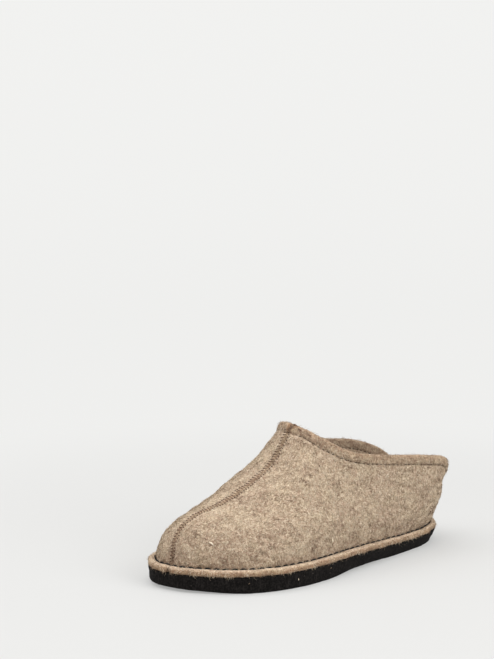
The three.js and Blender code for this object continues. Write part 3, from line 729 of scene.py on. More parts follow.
def felt_finish(name, body, dim, pale, deep, warm_tint, fleck):
    """Wool felt: two body tones in soft clouds, strands paler and deeper than they are, and the zones'
    shade and warmth. The bump follows the strands and a finer grain."""
    material, tree, shader, place = new_finish(name)
    layers = [grain(tree, place, STRAND_SIZE, turn, 1.5, (0.013 * i, 0.007 * i, 0)) for i, turn in
              enumerate(STRAND_TURNS)]
    bright = layers[0]
    dark = layers[0]
    for layer in layers[1:]:
        bright = maths(tree, "MAXIMUM", bright, layer)
        dark = maths(tree, "MINIMUM", dark, layer)
    clouds = grain(tree, place, (0.019, 0.019, 0.019), detail=3.0)
    patches = grain(tree, place, (0.0062, 0.0062, 0.0062), detail=3.5, at=(0.3, 0, 0))
    fine = grain(tree, place, (0.0013, 0.0013, 0.0013), detail=2.0)
    tone = blended(tree, stretch(tree, clouds, 0.36, 0.64), body, dim)
    tone = blended(tree, stretch(tree, patches, 0.42, 0.62, 0.0, 0.62), tone, colour(*fleck))
    tone = blended(tree, stretch(tree, bright, 0.57, 0.74, 0.0, 0.62), tone, pale)
    tone = blended(tree, stretch(tree, dark, 0.42, 0.27, 0.0, 0.62), tone, deep)
    tone = blended(tree, stretch(tree, fine, 0.56, 0.68, 0.0, 0.40), tone, pale)
    tone = blended(tree, stretch(tree, fine, 0.44, 0.32, 0.0, 0.42), tone, deep)
    warm = node(tree, "Attribute", attribute_name="warm").outputs["Fac"]
    shade = node(tree, "Attribute", attribute_name="shade").outputs["Fac"]
    tone = blended(tree, warm, tone, blended(tree, 1.0, tone, warm_tint, "MULTIPLY"))
    light = maths(tree, "ADD", maths(tree, "MULTIPLY", shade, 0.9), 0.55)
    scaled = node(tree, "VectorMath", {0: tone, 3: light}, operation="SCALE").outputs[0]
    tree.links.new(scaled, shader.inputs["Base Color"])
    fuzz = maths(tree, "ADD", maths(tree, "SUBTRACT", bright, dark), maths(tree, "MULTIPLY", fine, 0.8))
    bump = node(tree, "Bump", {"Height": fuzz, "Strength": 0.75, "Distance": 0.0008})
    tree.links.new(bump.outputs[0], shader.inputs["Normal"])
    shader.inputs["Roughness"].default_value = 0.95
    shader.inputs["Specular IOR Level"].default_value = 0.12
    shader.inputs["Sheen Weight"].default_value = 0.30
    shader.inputs["Sheen Roughness"].default_value = 0.5
    shader.inputs["Sheen Tint"].default_value = colour(0.95, 0.86, 0.74)
    return material


upper_felt = felt_finish(
    "grey_brown_felt",
    body=colour(0.565, 0.435, 0.305),
    dim=colour(0.455, 0.322, 0.232),
    pale=colour(0.82, 0.715, 0.535),
    deep=colour(0.230, 0.142, 0.092),
    warm_tint=colour(0.86, 0.72, 0.60),
    fleck=(0.455, 0.318, 0.232),
)
print("Felt nodes:", len(upper_felt.node_tree.nodes))

# %% Put the upper in place
wall_points = wall.reshape(-1, 3)[wall_first] + FRAME_SHIFT
upper_piece = add_piece("felt_upper", wall_points, wall_quads, wall_tris, upper_felt, {
    "shade": wall_shade.reshape(-1)[wall_first],
    "warm": wall_warm.reshape(-1)[wall_first],
})
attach(upper_piece, "root")
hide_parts("upper")

# %% [markdown]
# ## The black sole
# It is cut from a sheet of black foam rubber: matte, porous, with tiny grey crumbs and faint upright saw
# marks on its edge. It stands on a flat heel and ball, with the toe and the waist lifted. The edge leans in
# towards the floor, most at the heel. Its shape is one profile carried round the sole line.

# %% Foam rubber finish and the sole
def foam_finish(name):
    """Black foam rubber: a dark ground with small crumbs, a few grey specks, and pits in the bump."""
    material, tree, shader, place = new_finish(name)
    crumbs = grain(tree, place, (0.0011, 0.0011, 0.0011), detail=3.0)
    marks = grain(tree, place, (0.0012, 0.0012, 0.011), detail=2.0, at=(0.2, 0, 0))
    specks = node(tree, "TexVoronoi", {"Vector": place, "Scale": 420.0})
    tone = blended(tree, stretch(tree, crumbs, 0.38, 0.70), colour(0.0042, 0.0036, 0.0034),
                   colour(0.0175, 0.0150, 0.0140))
    tone = blended(tree, stretch(tree, marks, 0.52, 0.78, 0.0, 0.55), tone, colour(0.0300, 0.0260, 0.0245))
    near = stretch(tree, specks.outputs["Distance"], 0.20, 0.10)
    chosen = stretch(tree, node(tree, "SeparateColor", {0: specks.outputs["Color"]}).outputs[0], 0.93, 0.96)
    tone = blended(tree, maths(tree, "MULTIPLY", near, chosen), tone, colour(0.10, 0.085, 0.075))
    tree.links.new(tone, shader.inputs["Base Color"])
    pits = node(tree, "TexVoronoi", {"Vector": place, "Scale": 900.0}).outputs["Distance"]
    height = maths(tree, "ADD", maths(tree, "MULTIPLY", pits, 0.5), maths(tree, "ADD", crumbs, marks))
    bump = node(tree, "Bump", {"Height": height, "Strength": 0.7, "Distance": 0.0005})
    tree.links.new(bump.outputs[0], shader.inputs["Normal"])
    shader.inputs["Roughness"].default_value = 0.95
    shader.inputs["Specular IOR Level"].default_value = 0.08
    return material


def closed_slab(rings, across):
    """A slab from rings of points, listed from its upper edge down. The upper and lower faces are rungs from
    each column of the outer side to its partner on the inner side, with even steps across."""
    columns = rings.shape[0]
    half = columns // 2
    near = np.arange(half + 1)
    far = (columns - near) % columns
    k = np.linspace(0, 1, across + 1)[None, :, None]
    top = rings[near, 0][:, None] * (1 - k) + rings[far, 0][:, None] * k
    low = rings[near, -1][:, None] * (1 - k) + rings[far, -1][:, None] * k
    side_faces = grid_faces(columns, rings.shape[1], True)
    face = grid_faces(half + 1, across + 1, False)
    start_top = rings.shape[0] * rings.shape[1]
    start_low = start_top + top.shape[0] * top.shape[1]
    points = np.vstack([rings.reshape(-1, 3), top.reshape(-1, 3), low.reshape(-1, 3)])
    faces = np.vstack([side_faces, face[:, ::-1] + start_top, face + start_low])
    return points, faces, start_top, start_low


sole_finish = foam_finish("black_foam_rubber")
undercut = TOE_UNDERCUT + (HEEL_UNDERCUT - TOE_UNDERCUT) * ease(0.30, 0.75, edge_point[:, 1] / LENGTH + 0.5)
under_high = sole_bottom(edge_point[:, 1])
upper_high = sole_top(edge_point[:, 1])
BOTTOM_ROUND = 1.6
side_share = np.linspace(0, 1, 9)[None, :]
side_inset = 0.10 + (undercut[:, None] - 0.10) * (0.9 * side_share + 0.1 * side_share**2)
side_high = (upper_high[:, None] - 0.6) * (1 - side_share) + (under_high[:, None] + BOTTOM_ROUND) * side_share
lip_inset = np.broadcast_to([0.55, 0.22], (COLUMNS, 2))
lip_high = upper_high[:, None] + np.array([[0.0, -0.18]])
turn_inset = undercut[:, None] + BOTTOM_ROUND * np.array([[0.10, 0.38, 1.0]])
turn_high = under_high[:, None] + BOTTOM_ROUND * np.array([[0.60, 0.18, 0.0]])
sole_inset = np.concatenate([lip_inset, side_inset, turn_inset], 1)
sole_rings = edge_point[:, None] - edge_out[:, None] * sole_inset[..., None]
sole_rings[..., 2] = np.concatenate([lip_high, side_high, turn_high], 1)
flat_rings = sole_rings.reshape(-1, 3)
sole_rough = 0.09 * ripple(flat_rings, 4.2, 21) + 0.10 * ripple(flat_rings, 9, 22)
sole_rough = sole_rough + 0.12 * ripple(flat_rings, 33, 23)
side_only = np.ones(sole_rings.shape[1])
side_only[[0, -1]] = 0
sole_rough = sole_rough.reshape(sole_rings.shape[:2]) * side_only
sole_rings = sole_rings + edge_out[:, None] * sole_rough[..., None]
sole_points, sole_faces, _, _ = closed_slab(sole_rings, 10)
first, _, quads, tris = weld(sole_points, sole_faces)
sole_piece = add_piece("foam_sole", sole_points[first] + FRAME_SHIFT, quads, tris, sole_finish)
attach(sole_piece, "root")
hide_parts("outsole")
print("Lowest point of the sole, mm:", round(float(sole_points[:, 2].min()), 3))

# %% [markdown]
# ## The footbed
# Inside lies a plain footbed of darker felt, 4 mm thick. Wear presses it down a little under the heel and
# the ball. It is the same kind of slab as the sole, with a finer upper face so that the dents are soft.

# %% The insole
INSOLE_THICK = 4.2
INSOLE_ROUND = 1.2
footbed_felt = felt_finish(
    "footbed_felt",
    body=colour(0.37, 0.275, 0.20),
    dim=colour(0.29, 0.21, 0.15),
    pale=colour(0.54, 0.44, 0.33),
    deep=colour(0.14, 0.095, 0.065),
    warm_tint=colour(0.86, 0.72, 0.60),
    fleck=(0.30, 0.21, 0.155),
)
bed_inset = (flange_width(edge_point[:, 1]) + FELT + 2 * GAP)[:, None]
bed_inset = bed_inset + INSOLE_ROUND * np.array([[1.0, 0.35, 0.08, 0.0, 0.0]])
bed_high = sole_top(edge_point[:, 1])[:, None] + GAP
bed_high = bed_high + INSOLE_THICK - np.array([[0.0, 0.25, 0.7, 1.3, INSOLE_THICK]])
bed_rings = edge_point[:, None] - edge_out[:, None] * bed_inset[..., None]
bed_rings[..., 2] = bed_high
bed_points, bed_faces, bed_top, bed_low = closed_slab(bed_rings, 44)
top_points = bed_points[bed_top:bed_low]
to_bed_edge = distance_to(top_points, np.vstack([bed_rings[:, 0], bed_rings[:1, 0]]))
heel_press = hump(np.hypot((top_points[:, 0] - 2) / 24, (top_points[:, 1] - 84) / 34), 1.0)
ball_press = hump(np.hypot((top_points[:, 0] + 3) / 36, (top_points[:, 1] + 52) / 30), 1.0)
press = 1.0 * heel_press + 0.8 * ball_press + 0.25 + 0.12 * ripple(top_points, 7, 31)
top_points[:, 2] -= press * ease(0, 7, to_bed_edge)
first, _, quads, tris = weld(bed_points, bed_faces)
bed_shade = np.full(len(bed_points), 0.44)
bed_piece = add_piece("felt_footbed", bed_points[first] + FRAME_SHIFT, quads, tris, footbed_felt, {
    "shade": bed_shade[first],
    "warm": 0 * bed_shade[first],
})
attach(bed_piece, "root")
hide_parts("insole")

# %% [markdown]
# ## Sewing
# A stitch is a short length of thread that leaves the felt, lies on it and goes back in. Each one here is a
# thin tube with six sides whose middle line follows that rise, and its two ends narrow to a point under the
# surface. All stitches of one row are worked out together and make one piece.

# %% Thread helpers
THREAD_STEPS = np.array([0.0, 0.05, 0.2, 0.5, 0.8, 0.95, 1.0])
THREAD_SIDES = 6


def thread_rows(start, end, up, thick, rise, sink, sway):
    """Points and faces of many stitches. The middle line goes straight from start to end, lifted by a sine
    arch of the rise less the sink at its ends, and pushed sideways by a sine of the sway. Around it runs a
    circle whose radius falls to nothing at both ends, by the eighth power of the distance from the middle."""
    s = THREAD_STEPS[None, None, :, None]
    ahead = unit(end - start)[:, None, None]
    sideways = unit(np.cross(up, end - start))[:, None, None]
    lift = np.cross(ahead, sideways)
    arch = np.sin(np.pi * s)
    line = start[:, None, None] * (1 - s) + end[:, None, None] * s
    line = line + lift * ((rise + sink) * arch**0.7 - sink) + sideways * (sway * arch)
    radius = thick / 2 * np.sqrt(np.maximum(0, 1 - (2 * s - 1) ** 8))
    angle = (np.arange(THREAD_SIDES) * 2 * np.pi / THREAD_SIDES)[None, :, None, None]
    tube = line + radius * (np.cos(angle) * sideways + np.sin(angle) * lift)
    one = grid_faces(THREAD_SIDES, len(THREAD_STEPS), True)
    size = THREAD_SIDES * len(THREAD_STEPS)
    faces = (one[None] + (np.arange(len(start)) * size)[:, None, None]).reshape(-1, 4)
    return tube.reshape(-1, 3), faces


def thread_finish(name, deep, pale):
    """Twisted thread: two close tones in fine slanting grain, matte, with a slight bump."""
    material, tree, shader, place = new_finish(name)
    twist = grain(tree, place, (0.0005, 0.0012, 0.0004), (0.6, 0.3, 0.2), 1.5)
    tree.links.new(blended(tree, stretch(tree, twist, 0.35, 0.65), deep, pale), shader.inputs["Base Color"])
    bump = node(tree, "Bump", {"Height": twist, "Strength": 0.5, "Distance": 0.0002})
    tree.links.new(bump.outputs[0], shader.inputs["Normal"])
    shader.inputs["Roughness"].default_value = 0.8
    shader.inputs["Specular IOR Level"].default_value = 0.2
    return material


def sew(name, start, end, up, thick, rise, sink, sway, finish):
    """Makes a row of stitches one piece, which rides with the shoe."""
    points, faces = thread_rows(start, end, up, thick, rise, sink, sway)
    first, _, quads, tris = weld(points, faces)
    piece = add_piece(name, points[first] + FRAME_SHIFT, quads, tris, finish)
    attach(piece, "root")
    return piece


def measured_loop(line):
    """Closed polyline with the length run at each point, its first point added again at the end."""
    closed = np.vstack([line, line[:1]])
    run = np.concatenate([[0], np.linalg.norm(np.diff(closed, axis=0), axis=1).cumsum()])
    return closed, run


def at_run(values, run, where):
    """Values at given lengths along a measured line."""
    where = np.mod(where, run[-1]) if where.max() > run[-1] else where
    return np.stack([np.interp(where, run, v) for v in values.T], -1)


black_thread = thread_finish("black_thread", colour(0.010, 0.010, 0.011), colour(0.028, 0.027, 0.027))
dark_thread = thread_finish("dark_brown_thread", colour(0.040, 0.026, 0.019), colour(0.100, 0.070, 0.052))
brown_thread = thread_finish("brown_thread", colour(0.125, 0.072, 0.047), colour(0.235, 0.150, 0.100))
hole_shade_thread = thread_finish("needle_hole_shade_thread", colour(0.070, 0.040, 0.026), colour(0.140, 0.085, 0.057))

# %% [markdown]
# The thread that holds the upper to the sole lies in the crease above the flange. It is black, thick and
# long-stitched, and each stitch sags outwards a little. At the collar a finer dark thread holds the turned
# hem: it shows as short dashes in the groove, outside and inside.

# %% Crease and hem stitches
CREASE_PITCH = 6.5
CREASE_STITCH = 5.7
crease_loop, crease_run = measured_loop(flange[:, 1] * 0.5 + flange[:, 2] * 0.5 + [0, 0, 0.85])
count = int(round(crease_run[-1] / CREASE_PITCH))
dice = np.random.default_rng(40)
begin = np.arange(count) * crease_run[-1] / count + dice.uniform(-0.35, 0.35, count) + 0.6
start = at_run(crease_loop, crease_run, begin)
end = at_run(crease_loop, crease_run, begin + CREASE_STITCH + dice.uniform(-0.4, 0.3, count))
out_loop = np.vstack([edge_out, edge_out[:1]])
lean = at_run(out_loop, crease_run, begin + CREASE_STITCH / 2) * 0.35 + [0, 0, 1]
sew("crease_stitches", start, end, lean, thick=1.05, rise=0.22, sink=1.0, sway=-0.35, finish=black_thread)

HEM_PITCH = 4.2
HEM_STITCH = 2.9
rim_grid = on_grid(to_rim)
crossed = np.flatnonzero(rim_grid[:, 0] < GROOVE_AT)
after = np.argmax(rim_grid[crossed] >= GROOVE_AT, axis=1)
before = rim_grid[crossed, after - 1]
part = ((GROOVE_AT - before) / (rim_grid[crossed, after] - before))[:, None]
normal_grid = on_grid(base_normals)
groove_up = normal_grid[crossed, after]


def groove_line(surface):
    """Points of a surface grid at the groove's distance from the rim."""
    return surface[crossed, after - 1] * (1 - part) + surface[crossed, after] * part


for name, surface, turn in (("hem_stitches_outside", outside, 1.0), ("hem_stitches_inside", inside, -1.0)):
    hem_loop, hem_run = measured_loop(groove_line(surface))
    count = int(round(hem_run[-1] / HEM_PITCH))
    begin = np.arange(count) * hem_run[-1] / count + dice.uniform(-0.25, 0.25, count)
    ups = np.vstack([groove_up, groove_up[:1]]) * turn
    start = at_run(hem_loop, hem_run, begin + 0.5)
    end = at_run(hem_loop, hem_run, begin + 0.5 + HEM_STITCH)
    middle_up = at_run(ups, hem_run, begin + 0.5 + HEM_STITCH / 2)
    sew(name, start, end, middle_up, thick=0.66, rise=0.16, sink=0.45, sway=0.0, finish=dark_thread)
print("Hem row, mm:", round(float(hem_run[-1])), "and crease row:", round(float(crease_run[-1])))

# %% [markdown]
# The two halves of the vamp meet edge to edge and are joined by a wide zigzag. From above it looks like a
# ladder: short slanting strokes on both sides of a thin trough, closer and shorter where the seam turns
# down over the toe. Each stroke ends in a needle mark: a short darker thread that paints the shade in the
# needle hole. Three heavier stitches lock the seam at the collar. They are sewn further down, where a spot
# of the felt is found by its pixel.

# %% Centre seam stitches
skin = np.concatenate([outside, flange], axis=1)
skin_first, _, skin_quads, skin_tris = weld(skin.reshape(-1, 3), grid_faces(COLUMNS, skin.shape[1], True))
skin_points = skin.reshape(-1, 3)[skin_first]
skin_triangles = split_faces(skin_quads, skin_tris)
skin_normals = point_normals(skin_points, skin_triangles)
if (skin_normals * (skin_points - [0, 0, 40])).sum() < 0:
    skin_normals = -skin_normals
    skin_triangles = skin_triangles[:, ::-1]


def dropped(points, near, normals, lift=0.0):
    """Each point moved on to the surface: square to the nearest surface point's normal, plus a lift."""
    apart = (points**2).sum(-1)[:, None] + (near**2).sum(-1)[None] - 2 * points @ near.T
    nearest = apart.argmin(1)
    n = normals[nearest]
    off = ((points - near[nearest]) * n).sum(-1, keepdims=True)
    return points - n * (off - lift), n


by_seam = distance_to(skin_points, SEAM_PATH) < 7
seam_near = skin_points[by_seam]
seam_near_up = skin_normals[by_seam]
seam_run = np.concatenate([[0], np.linalg.norm(np.diff(SEAM_PATH, axis=0), axis=1).cumsum()])
SEAM_PITCH = 2.35
SLANT = 0.30
MARK_BACK = 0.75
MARK_ON = 0.35
strokes = np.arange(4.0, seam_run[-1] - 1.5, SEAM_PITCH)
down_toe = ease(seam_run[-1] - 80, seam_run[-1] - 45, strokes)
for name, side in (("outer", 1.0), ("inner", -1.0)):
    at = strokes + (0.5 * SEAM_PITCH if side < 0 else 0.0) + dice.uniform(-0.2, 0.2, len(strokes))
    middle = at_run(SEAM_PATH, seam_run, np.minimum(at, seam_run[-1] - 0.5))
    onward = unit(at_run(SEAM_PATH, seam_run, np.minimum(at + 1, seam_run[-1])) - middle)
    far = (3.2 - 1.35 * down_toe + dice.uniform(-0.2, 0.25, len(at)))[:, None]
    aside = np.array([side, 0, 0])
    start, ups = dropped(middle + aside * 0.45, seam_near, seam_near_up)
    end, _ = dropped(middle + aside * far + onward * SLANT * far, seam_near, seam_near_up)
    sew("seam_stitches_" + name, start, end, ups,
        thick=0.72, rise=0.40, sink=0.30, sway=0.0, finish=brown_thread)
    # Dark thread at each stroke's end: painted shade of the needle hole.
    back = far - MARK_BACK
    on = far + MARK_ON
    start, _ = dropped(middle + aside * back + onward * SLANT * back, seam_near, seam_near_up)
    end, ups = dropped(middle + aside * on + onward * SLANT * on, seam_near, seam_near_up)
    sew("needle_marks_" + name, start, end, ups,
        thick=0.80, rise=0.36, sink=0.25, sway=0.0, finish=hole_shade_thread)
print("Seam length, mm:", round(float(seam_run[-1]), 1), "strokes a side:", len(strokes))

# %% [markdown]
# ## Loose fibres
# Felt is never bare: thousands of fibre ends stand up from it and soften every outline. Each fibre below is
# a spindle of six triangles, rooted in the surface, bent in the middle and lifted at its tip. A number on
# each point, "tone", makes it a brown, grey, straw or cream hair.

# %% Fibre helpers
# place in the run of shades, and the colour there
WOOL_SHADES = [(0.25, (0.36, 0.248, 0.172)), (0.5, (0.55, 0.425, 0.295)), (0.8, (0.78, 0.66, 0.48))]


def fibre_finish(name):
    """Wool hair in a run of shades picked by the tone that each fibre carries, matte and slightly downy."""
    material, tree, shader, place = new_finish(name)
    tone = node(tree, "Attribute", attribute_name="tone").outputs["Fac"]
    ramp = node(tree, "ValToRGB", {"Fac": tone})
    steps = ramp.color_ramp.elements
    steps[0].color = colour(0.17, 0.105, 0.068)
    steps[1].position = 1.0
    steps[1].color = colour(0.90, 0.79, 0.63)
    for position, shade in WOOL_SHADES:
        step = steps.new(position)
        step.color = colour(*shade)
    along = grain(tree, place, (0.002, 0.002, 0.002))
    tint = blended(tree, stretch(tree, along, 0.3, 0.7), colour(0.92, 0.90, 0.88), colour(1.0, 1.0, 1.0))
    tree.links.new(blended(tree, 1.0, ramp.outputs[0], tint, "MULTIPLY"), shader.inputs["Base Color"])
    shader.inputs["Roughness"].default_value = 0.9
    shader.inputs["Specular IOR Level"].default_value = 0.15
    return material


def spindles(root, middle, tip, up, thick):
    """Closed six-sided slivers: a point at the root, a three-cornered ring round the bent middle, and a point
    at the tip. Returns points and triangles."""
    ahead = unit(tip - root)
    sideways = unit(np.cross(up, ahead))
    lift = np.cross(ahead, sideways)
    angle = np.array([0.5, 2.5944, 4.6888])[None, :, None]
    radius = (thick / 2)[:, None, None]
    ring = middle[:, None] + radius * (np.cos(angle) * sideways[:, None] + np.sin(angle) * lift[:, None])
    points = np.concatenate([root[:, None], ring, tip[:, None]], axis=1).reshape(-1, 3)
    one = np.array([[0, 2, 1], [0, 3, 2], [0, 1, 3], [4, 1, 2], [4, 2, 3], [4, 3, 1]])
    tris = (one[None] + (np.arange(len(root)) * 5)[:, None, None]).reshape(-1, 3)
    return points, tris


def scatter(points, triangles, normals, weight, count, dice):
    """Random spots on a surface, denser where the weight is larger: a triangle is drawn by its area times
    its weight, and a place on it by two random numbers folded back into it. Returns the spots, the surface
    normals there and the first corner of each triangle."""
    a, b, c = [points[triangles[:, i]] for i in range(3)]
    area = np.linalg.norm(np.cross(b - a, c - a), axis=1) * weight[triangles].mean(1)
    pick = dice.choice(len(area), count, p=area / area.sum())
    u, v = dice.uniform(size=(2, count))
    fold = u + v > 1
    u = np.where(fold, 1 - u, u)[:, None]
    v = np.where(fold, 1 - v, v)[:, None]
    ia, ib, ic = triangles[pick].T
    spot = points[ia] * (1 - u - v) + points[ib] * u + points[ic] * v
    return spot, unit(normals[ia] * (1 - u - v) + normals[ib] * u + normals[ic] * v), ia


def grow(name, spot, normal, size, stand, thick, nap, tone, seed, finish):
    """Fibres from spots of a surface. The heading is random along the surface, drawn towards the nap. The
    middle and the tip rise by their share of the length, and the fibre bends sideways by up to a quarter."""
    dice = np.random.default_rng(seed)
    count = len(spot)
    heading = dice.normal(size=(count, 3)) + nap
    heading = unit(heading - normal * (heading * normal).sum(-1, keepdims=True))
    across = np.cross(normal, heading)
    long = (size * dice.uniform(0.55, 1.25, count))[:, None]
    bend = long * dice.uniform(-0.25, 0.25, (count, 1))
    rise = long * stand * dice.uniform(0.15, 1.0, (count, 1)) ** 2
    root = spot - normal * 0.18
    middle = spot + heading * long * 0.5 + across * bend + normal * (0.06 + rise * 0.35)
    tip = spot + heading * long * 0.95 + across * bend * 0.4 + normal * (0.02 + rise)
    points, tris = spindles(root, middle, tip, normal, thick * dice.uniform(0.7, 1.3, count))
    tones = np.repeat(np.clip(tone, 0, 1), 5)
    piece = add_piece(name, points + FRAME_SHIFT, np.zeros((0, 4), int), tris, finish, {"tone": tones})
    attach(piece, "root")
    return piece


wool = fibre_finish("wool_fibre")

# %% Grow the fibres
dice = np.random.default_rng(77)
skin_to_seam = distance_to(skin_points, SEAM_PATH)
skin_to_rim = distance_to(skin_points, RIM_PATH)
over_sole = skin_points[:, 2] - sole_top(skin_points[:, 1])
fibre_shade = skin_shade.reshape(-1)[skin_first]
over_flange = over_sole - GAP - FLANGE_THICK
skin_weight = 1 - 0.80 * hump(skin_to_seam, 3.0) - 0.55 * hump(skin_to_rim - GROOVE_AT, 1.2)
skin_weight = skin_weight - 0.60 * hump(skin_to_rim, 2.6) - 0.85 * hump(over_flange - 0.6, 1.1)
skin_weight = np.clip(skin_weight * (0.35 + 0.65 * ease(0.5, 5.0, over_sole)), 0.1, 1)
# name, how many, length, rise of the tips as a share of it, thickness, lie of the nap, tone, its spread, seed
NAPS = [
    ("fleck_nap", 32500, 2.9, 0.10, 0.22, (0.0, -0.5, -0.9), 0.52, 0.30, 78),
    ("short_nap", 32500, 3.8, 0.13, 0.19, (0.0, 0.5, -0.9), 0.58, 0.26, 79),
    ("long_nap", 13000, 4.4, 0.20, 0.13, (0.0, -0.3, -1.0), 0.78, 0.20, 81),
]
for name, count, size, stand, thick, nap, mean_tone, spread_tone, seed in NAPS:
    spot, normal, corner = scatter(skin_points, skin_triangles, skin_normals, skin_weight, count, dice)
    # Each fibre takes on the shade of the felt under it, its painted light and shade included.
    shades = dice.normal(mean_tone, spread_tone, count) + 1.1 * (fibre_shade[corner] - PLAIN_SHADE)
    shades = shades + 0.13 * ripple(spot, 15, 61) + 0.11 * ripple(spot, 7, 62)
    grow(name, spot, normal, size, stand, thick, np.array(nap), shades, seed, wool)

inner_grid = inside[:, INSIDE_ROWS].reshape(-1, 3)
inner_first, _, inner_quads, inner_tris = weld(
    inner_grid, grid_faces(COLUMNS, len(INSIDE_ROWS), True)[:, ::-1])
inner_points = inner_grid[inner_first]
inner_triangles = split_faces(inner_quads, inner_tris)
inner_normals = point_normals(inner_points, inner_triangles)
if (inner_normals * (inner_points - [0, 0, 40])).sum() > 0:
    inner_normals = -inner_normals
    inner_triangles = inner_triangles[:, ::-1]
high_up = 0.15 + ease(25, 60, inner_points[:, 2])
spot, normal, _ = scatter(inner_points, inner_triangles, inner_normals, high_up, 12000, dice)
# Dark tones: painted shade of the inside.
shades = dice.normal(0.10, 0.18, len(spot))
grow("inner_nap", spot, normal, size=3.4, stand=0.16, thick=0.15, nap=np.array([0.0, 0.3, -0.8]),
     tone=shades, seed=80, finish=wool)

# %% [markdown]
# A few odd bits caught in the wool make it real: one white curl near the toe, a piece of straw low on the
# side, some pale flecks, and three crumbs of fluff on the black edge. They were placed in the picture,
# so each is found again as the surface point that the camera sees at that pixel. The three heavier stitches
# that lock the seam at the collar are found in the same way.

# %% Odd bits in the wool
def seen_at(pixels, points, normals):
    """Numbers of the surface points that the camera sees nearest to each pixel. A point is projected by its
    sideways and upward distance over its depth, and the nearest few in the picture yield the closest."""
    pitch = math.radians(CAMERA_PITCH)
    yaw = math.radians(CAMERA_YAW)
    forward = np.array([-math.sin(yaw) * math.cos(pitch), math.cos(yaw) * math.cos(pitch), math.sin(pitch)])
    right = np.array([math.cos(yaw), math.sin(yaw), 0.0])
    up = np.cross(right, forward)
    away = points + FRAME_SHIFT - np.array(CAMERA_PLACE) / MM
    depth = away @ forward
    x = PHOTO_WIDE / 2 + FOCAL_PIXELS * (away @ right) / depth
    y = PHOTO_HIGH / 2 - FOCAL_PIXELS * (away @ up) / depth
    hidden = np.where((away * normals).sum(-1) < 0, 0.0, 1e6)
    miss = np.hypot(x[None] - pixels[:, :1], y[None] - pixels[:, 1:]) + hidden[None]
    return np.argmin(miss + depth[None] * 0.02, axis=1)


# across and down in the picture, length, thickness, turn on the surface in degrees, tone
BITS = np.array([
    [210.0, 544.0, 6.4, 1.50, -35, 1.00],
    [332.5, 541.0, 6.4, 1.90, 95, 0.88],
    [385.7, 476.5, 2.6, 0.60, 70, 0.90],
    [363.8, 507.7, 2.2, 0.55, 80, 0.88],
    [411.0, 504.6, 2.0, 0.60, 60, 0.88],
    [330.0, 527.0, 2.2, 0.55, 110, 0.90],
    [252.8, 530.2, 2.4, 0.60, 50, 0.86],
    [210.4, 563.9, 2.0, 0.60, 40, 0.92],
    [169.6, 530.7, 2.2, 0.60, 80, 0.90],
    [309.0, 545.0, 7.0, 0.35, 115, 0.95],
])
SOLE_BITS = np.array([
    [298.6, 578.7, 2.0, 0.9, 100, 0.85],
    [331.2, 568.7, 1.6, 0.6, 20, 0.40],
    [249.0, 583.0, 1.4, 0.5, 60, 0.30],
])


def bits_on(table, points, normals):
    """Spindles for the rows of a table, laid on the surface points seen at their pixels. The heading turns
    from the level direction of the surface towards its steepest one."""
    numbers = seen_at(table[:, :2], points, normals)
    spot = points[numbers]
    normal = normals[numbers]
    level = unit(np.cross([0.0, 0.0, 1.0], normal))
    steep = np.cross(normal, level)
    turn = np.radians(table[:, 4])[:, None]
    heading = np.cos(turn) * level + np.sin(turn) * steep
    half_long = table[:, 2:3] / 2
    root = spot - heading * half_long + normal * 0.02
    tip = spot + heading * half_long + normal * 0.12
    middle = spot + normal * (0.25 + table[:, 3:4] * 0.25) + np.cross(normal, heading) * half_long * 0.25
    return spindles(root, middle, tip, normal, table[:, 3])


points, tris = bits_on(BITS, skin_points, skin_normals)
sole_side = sole_rings[:, 3:9].reshape(-1, 3)
more_points, more_tris = bits_on(SOLE_BITS, sole_side, np.repeat(edge_out, 6, axis=0))
points = np.vstack([points, more_points])
tris = np.vstack([tris, more_tris + 5 * len(BITS)])
bits_piece = add_piece("odd_bits", points + FRAME_SHIFT, np.zeros((0, 4), int), tris, wool, {
    "tone": np.repeat(np.concatenate([BITS[:, 5], SOLE_BITS[:, 5]]), 5),
})
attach(bits_piece, "root")

# %% Lock stitches at the collar
# across and down in the picture
LOCKS = np.array([[291.6, 427.0], [299.5, 430.0], [295.5, 426.0]])
numbers = seen_at(LOCKS, skin_points, skin_normals)
lock_middle = skin_points[numbers]
lock_up = skin_normals[numbers]
lock_way = np.array([[0.9, 0.2, -2.2], [1.8, 0.6, -1.0], [2.2, 0.6, -0.8]])
sew("collar_lock_stitches", lock_middle - lock_way, lock_middle + lock_way, lock_up,
    thick=1.15, rise=0.35, sink=0.4, sway=0.2, finish=brown_thread)
print("Odd bits:", len(BITS) + len(SOLE_BITS), "and lock stitches:", len(LOCKS))

# %% [markdown]
# ## The studio
# The slipper stands in a seamless pale sweep: a floor that curves up into a wall all round, so that no edge
# shows. Soft light comes from an even sky and from three large panels: above, in front and at the side.

# %% Floor and light
def turned_profile(radius, high, steps):
    """A profile carried once round the Z axis: each radius and height at even angles."""
    angle = np.linspace(0, 2 * np.pi, steps, endpoint=False)[:, None]
    return np.stack([radius * np.cos(angle), radius * np.sin(angle), high + 0 * angle], -1)


# distance from the middle in metres, and the strength of the glow there
FLOOR_LIGHT = [(0.0, 0.868), (0.9, 0.864), (1.8, 0.862), (3.4, 0.868), (4.8, 0.888), (6.0, 0.916)]
GLOW_REACH = 6.0
GLOW_NEAR = 0.40


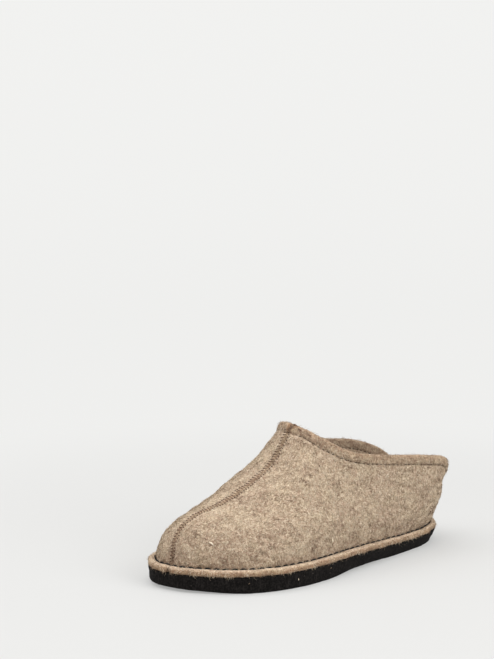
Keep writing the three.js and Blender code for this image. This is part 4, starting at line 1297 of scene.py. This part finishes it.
def sweep_finish(name):
    """Matte white near the shoe, with some glow in it that keeps the soft shadow faint. Further out it
    changes into an even glow whose strength follows the distance from the middle, so that floor and wall run
    together."""
    material, tree, shader, place = new_finish(name)
    haze = grain(tree, place, (0.5, 0.5, 0.5), detail=2.0)
    white = blended(tree, haze, colour(0.610, 0.610, 0.602), colour(0.620, 0.620, 0.611))
    tree.links.new(white, shader.inputs["Base Color"])
    shader.inputs["Roughness"].default_value = 0.9
    shader.inputs["Specular IOR Level"].default_value = 0.05
    away = node(tree, "VectorMath", {0: place}, operation="LENGTH").outputs["Value"]
    ramp = node(tree, "ValToRGB", {"Fac": maths(tree, "DIVIDE", away, GLOW_REACH)})
    steps = ramp.color_ramp.elements
    steps.remove(steps[1])
    steps[0].position = 0.0
    for i, (distance, glow) in enumerate(FLOOR_LIGHT):
        step = steps[0] if i == 0 else steps.new(distance / GLOW_REACH)
        step.color = colour(glow, glow, glow * 0.985)
    glow = node(tree, "Emission", {"Color": ramp.outputs[0], "Strength": 1.0})
    share = stretch(tree, away, 0.24, 0.62, GLOW_NEAR, 1.0)
    mixed = node(tree, "MixShader", {0: share, 1: shader.outputs[0], 2: glow.outputs[0]})
    tree.links.new(mixed.outputs[0], tree.nodes["Material Output"].inputs["Surface"])
    return material


studio_white = sweep_finish("studio_white")
FLOOR_RADIUS = 1300.0
COVE_START = 3200.0
COVE = 1400.0
arc = np.linspace(0, np.pi / 2, 16)
floor_profile = np.array([[0.01, 0], [150, 0], [400, 0], [800, 0], [FLOOR_RADIUS, 0]])
wall_radius = np.concatenate([[FLOOR_RADIUS, 2200], COVE_START + COVE * np.sin(arc), [COVE_START + COVE]])
wall_high = np.concatenate([[0, 0], COVE * (1 - np.cos(arc)), [COVE + 1400]])
for name, radius, high in (("studio_floor", *floor_profile.T), ("studio_wall", wall_radius, wall_high)):
    sweep = turned_profile(radius, high, 96).reshape(-1, 3)
    first, _, quads, tris = weld(sweep, grid_faces(96, len(radius), True)[:, ::-1])
    stage = add_piece(name, sweep[first], quads, tris, studio_white, closed=False)
# The last of the two, the wall, neither lights the slipper nor shades it.
stage.visible_diffuse = False
stage.visible_shadow = False

world = bpy.data.worlds.new("studio_sky")
world.use_nodes = True
sky = world.node_tree.nodes["Background"]
sky.inputs["Color"].default_value = colour(1.0, 0.995, 0.985)
sky.inputs["Strength"].default_value = 0.52
bpy.context.scene.world = world


def soft_panel(name, place, target, wide, watts):
    """A square area light that faces a point."""
    data = bpy.data.lights.new(name, "AREA")
    data.shape = "SQUARE"
    data.size = wide
    data.energy = watts
    panel = bpy.data.objects.new(name, data)
    panel.location = place
    away = np.array(place) - np.array(target)
    flat = math.hypot(away[0], away[1])
    panel.rotation_euler = (math.atan2(flat, away[2]), 0.0, math.atan2(away[0], -away[1]))
    bpy.context.scene.collection.objects.link(panel)


soft_panel("top_panel", (-0.15, -0.45, 2.3), (0.0, 0.0, 0.0), 2.4, 36.0)
soft_panel("front_panel", (-0.9, -1.7, 1.0), (0.0, 0.0, 0.03), 1.4, 11.0)
soft_panel("side_panel", (1.9, 0.5, 1.25), (0.0, 0.0, 0.03), 1.5, 29.0)
view_settings = bpy.context.scene.view_settings
view_settings.view_transform = "Standard"
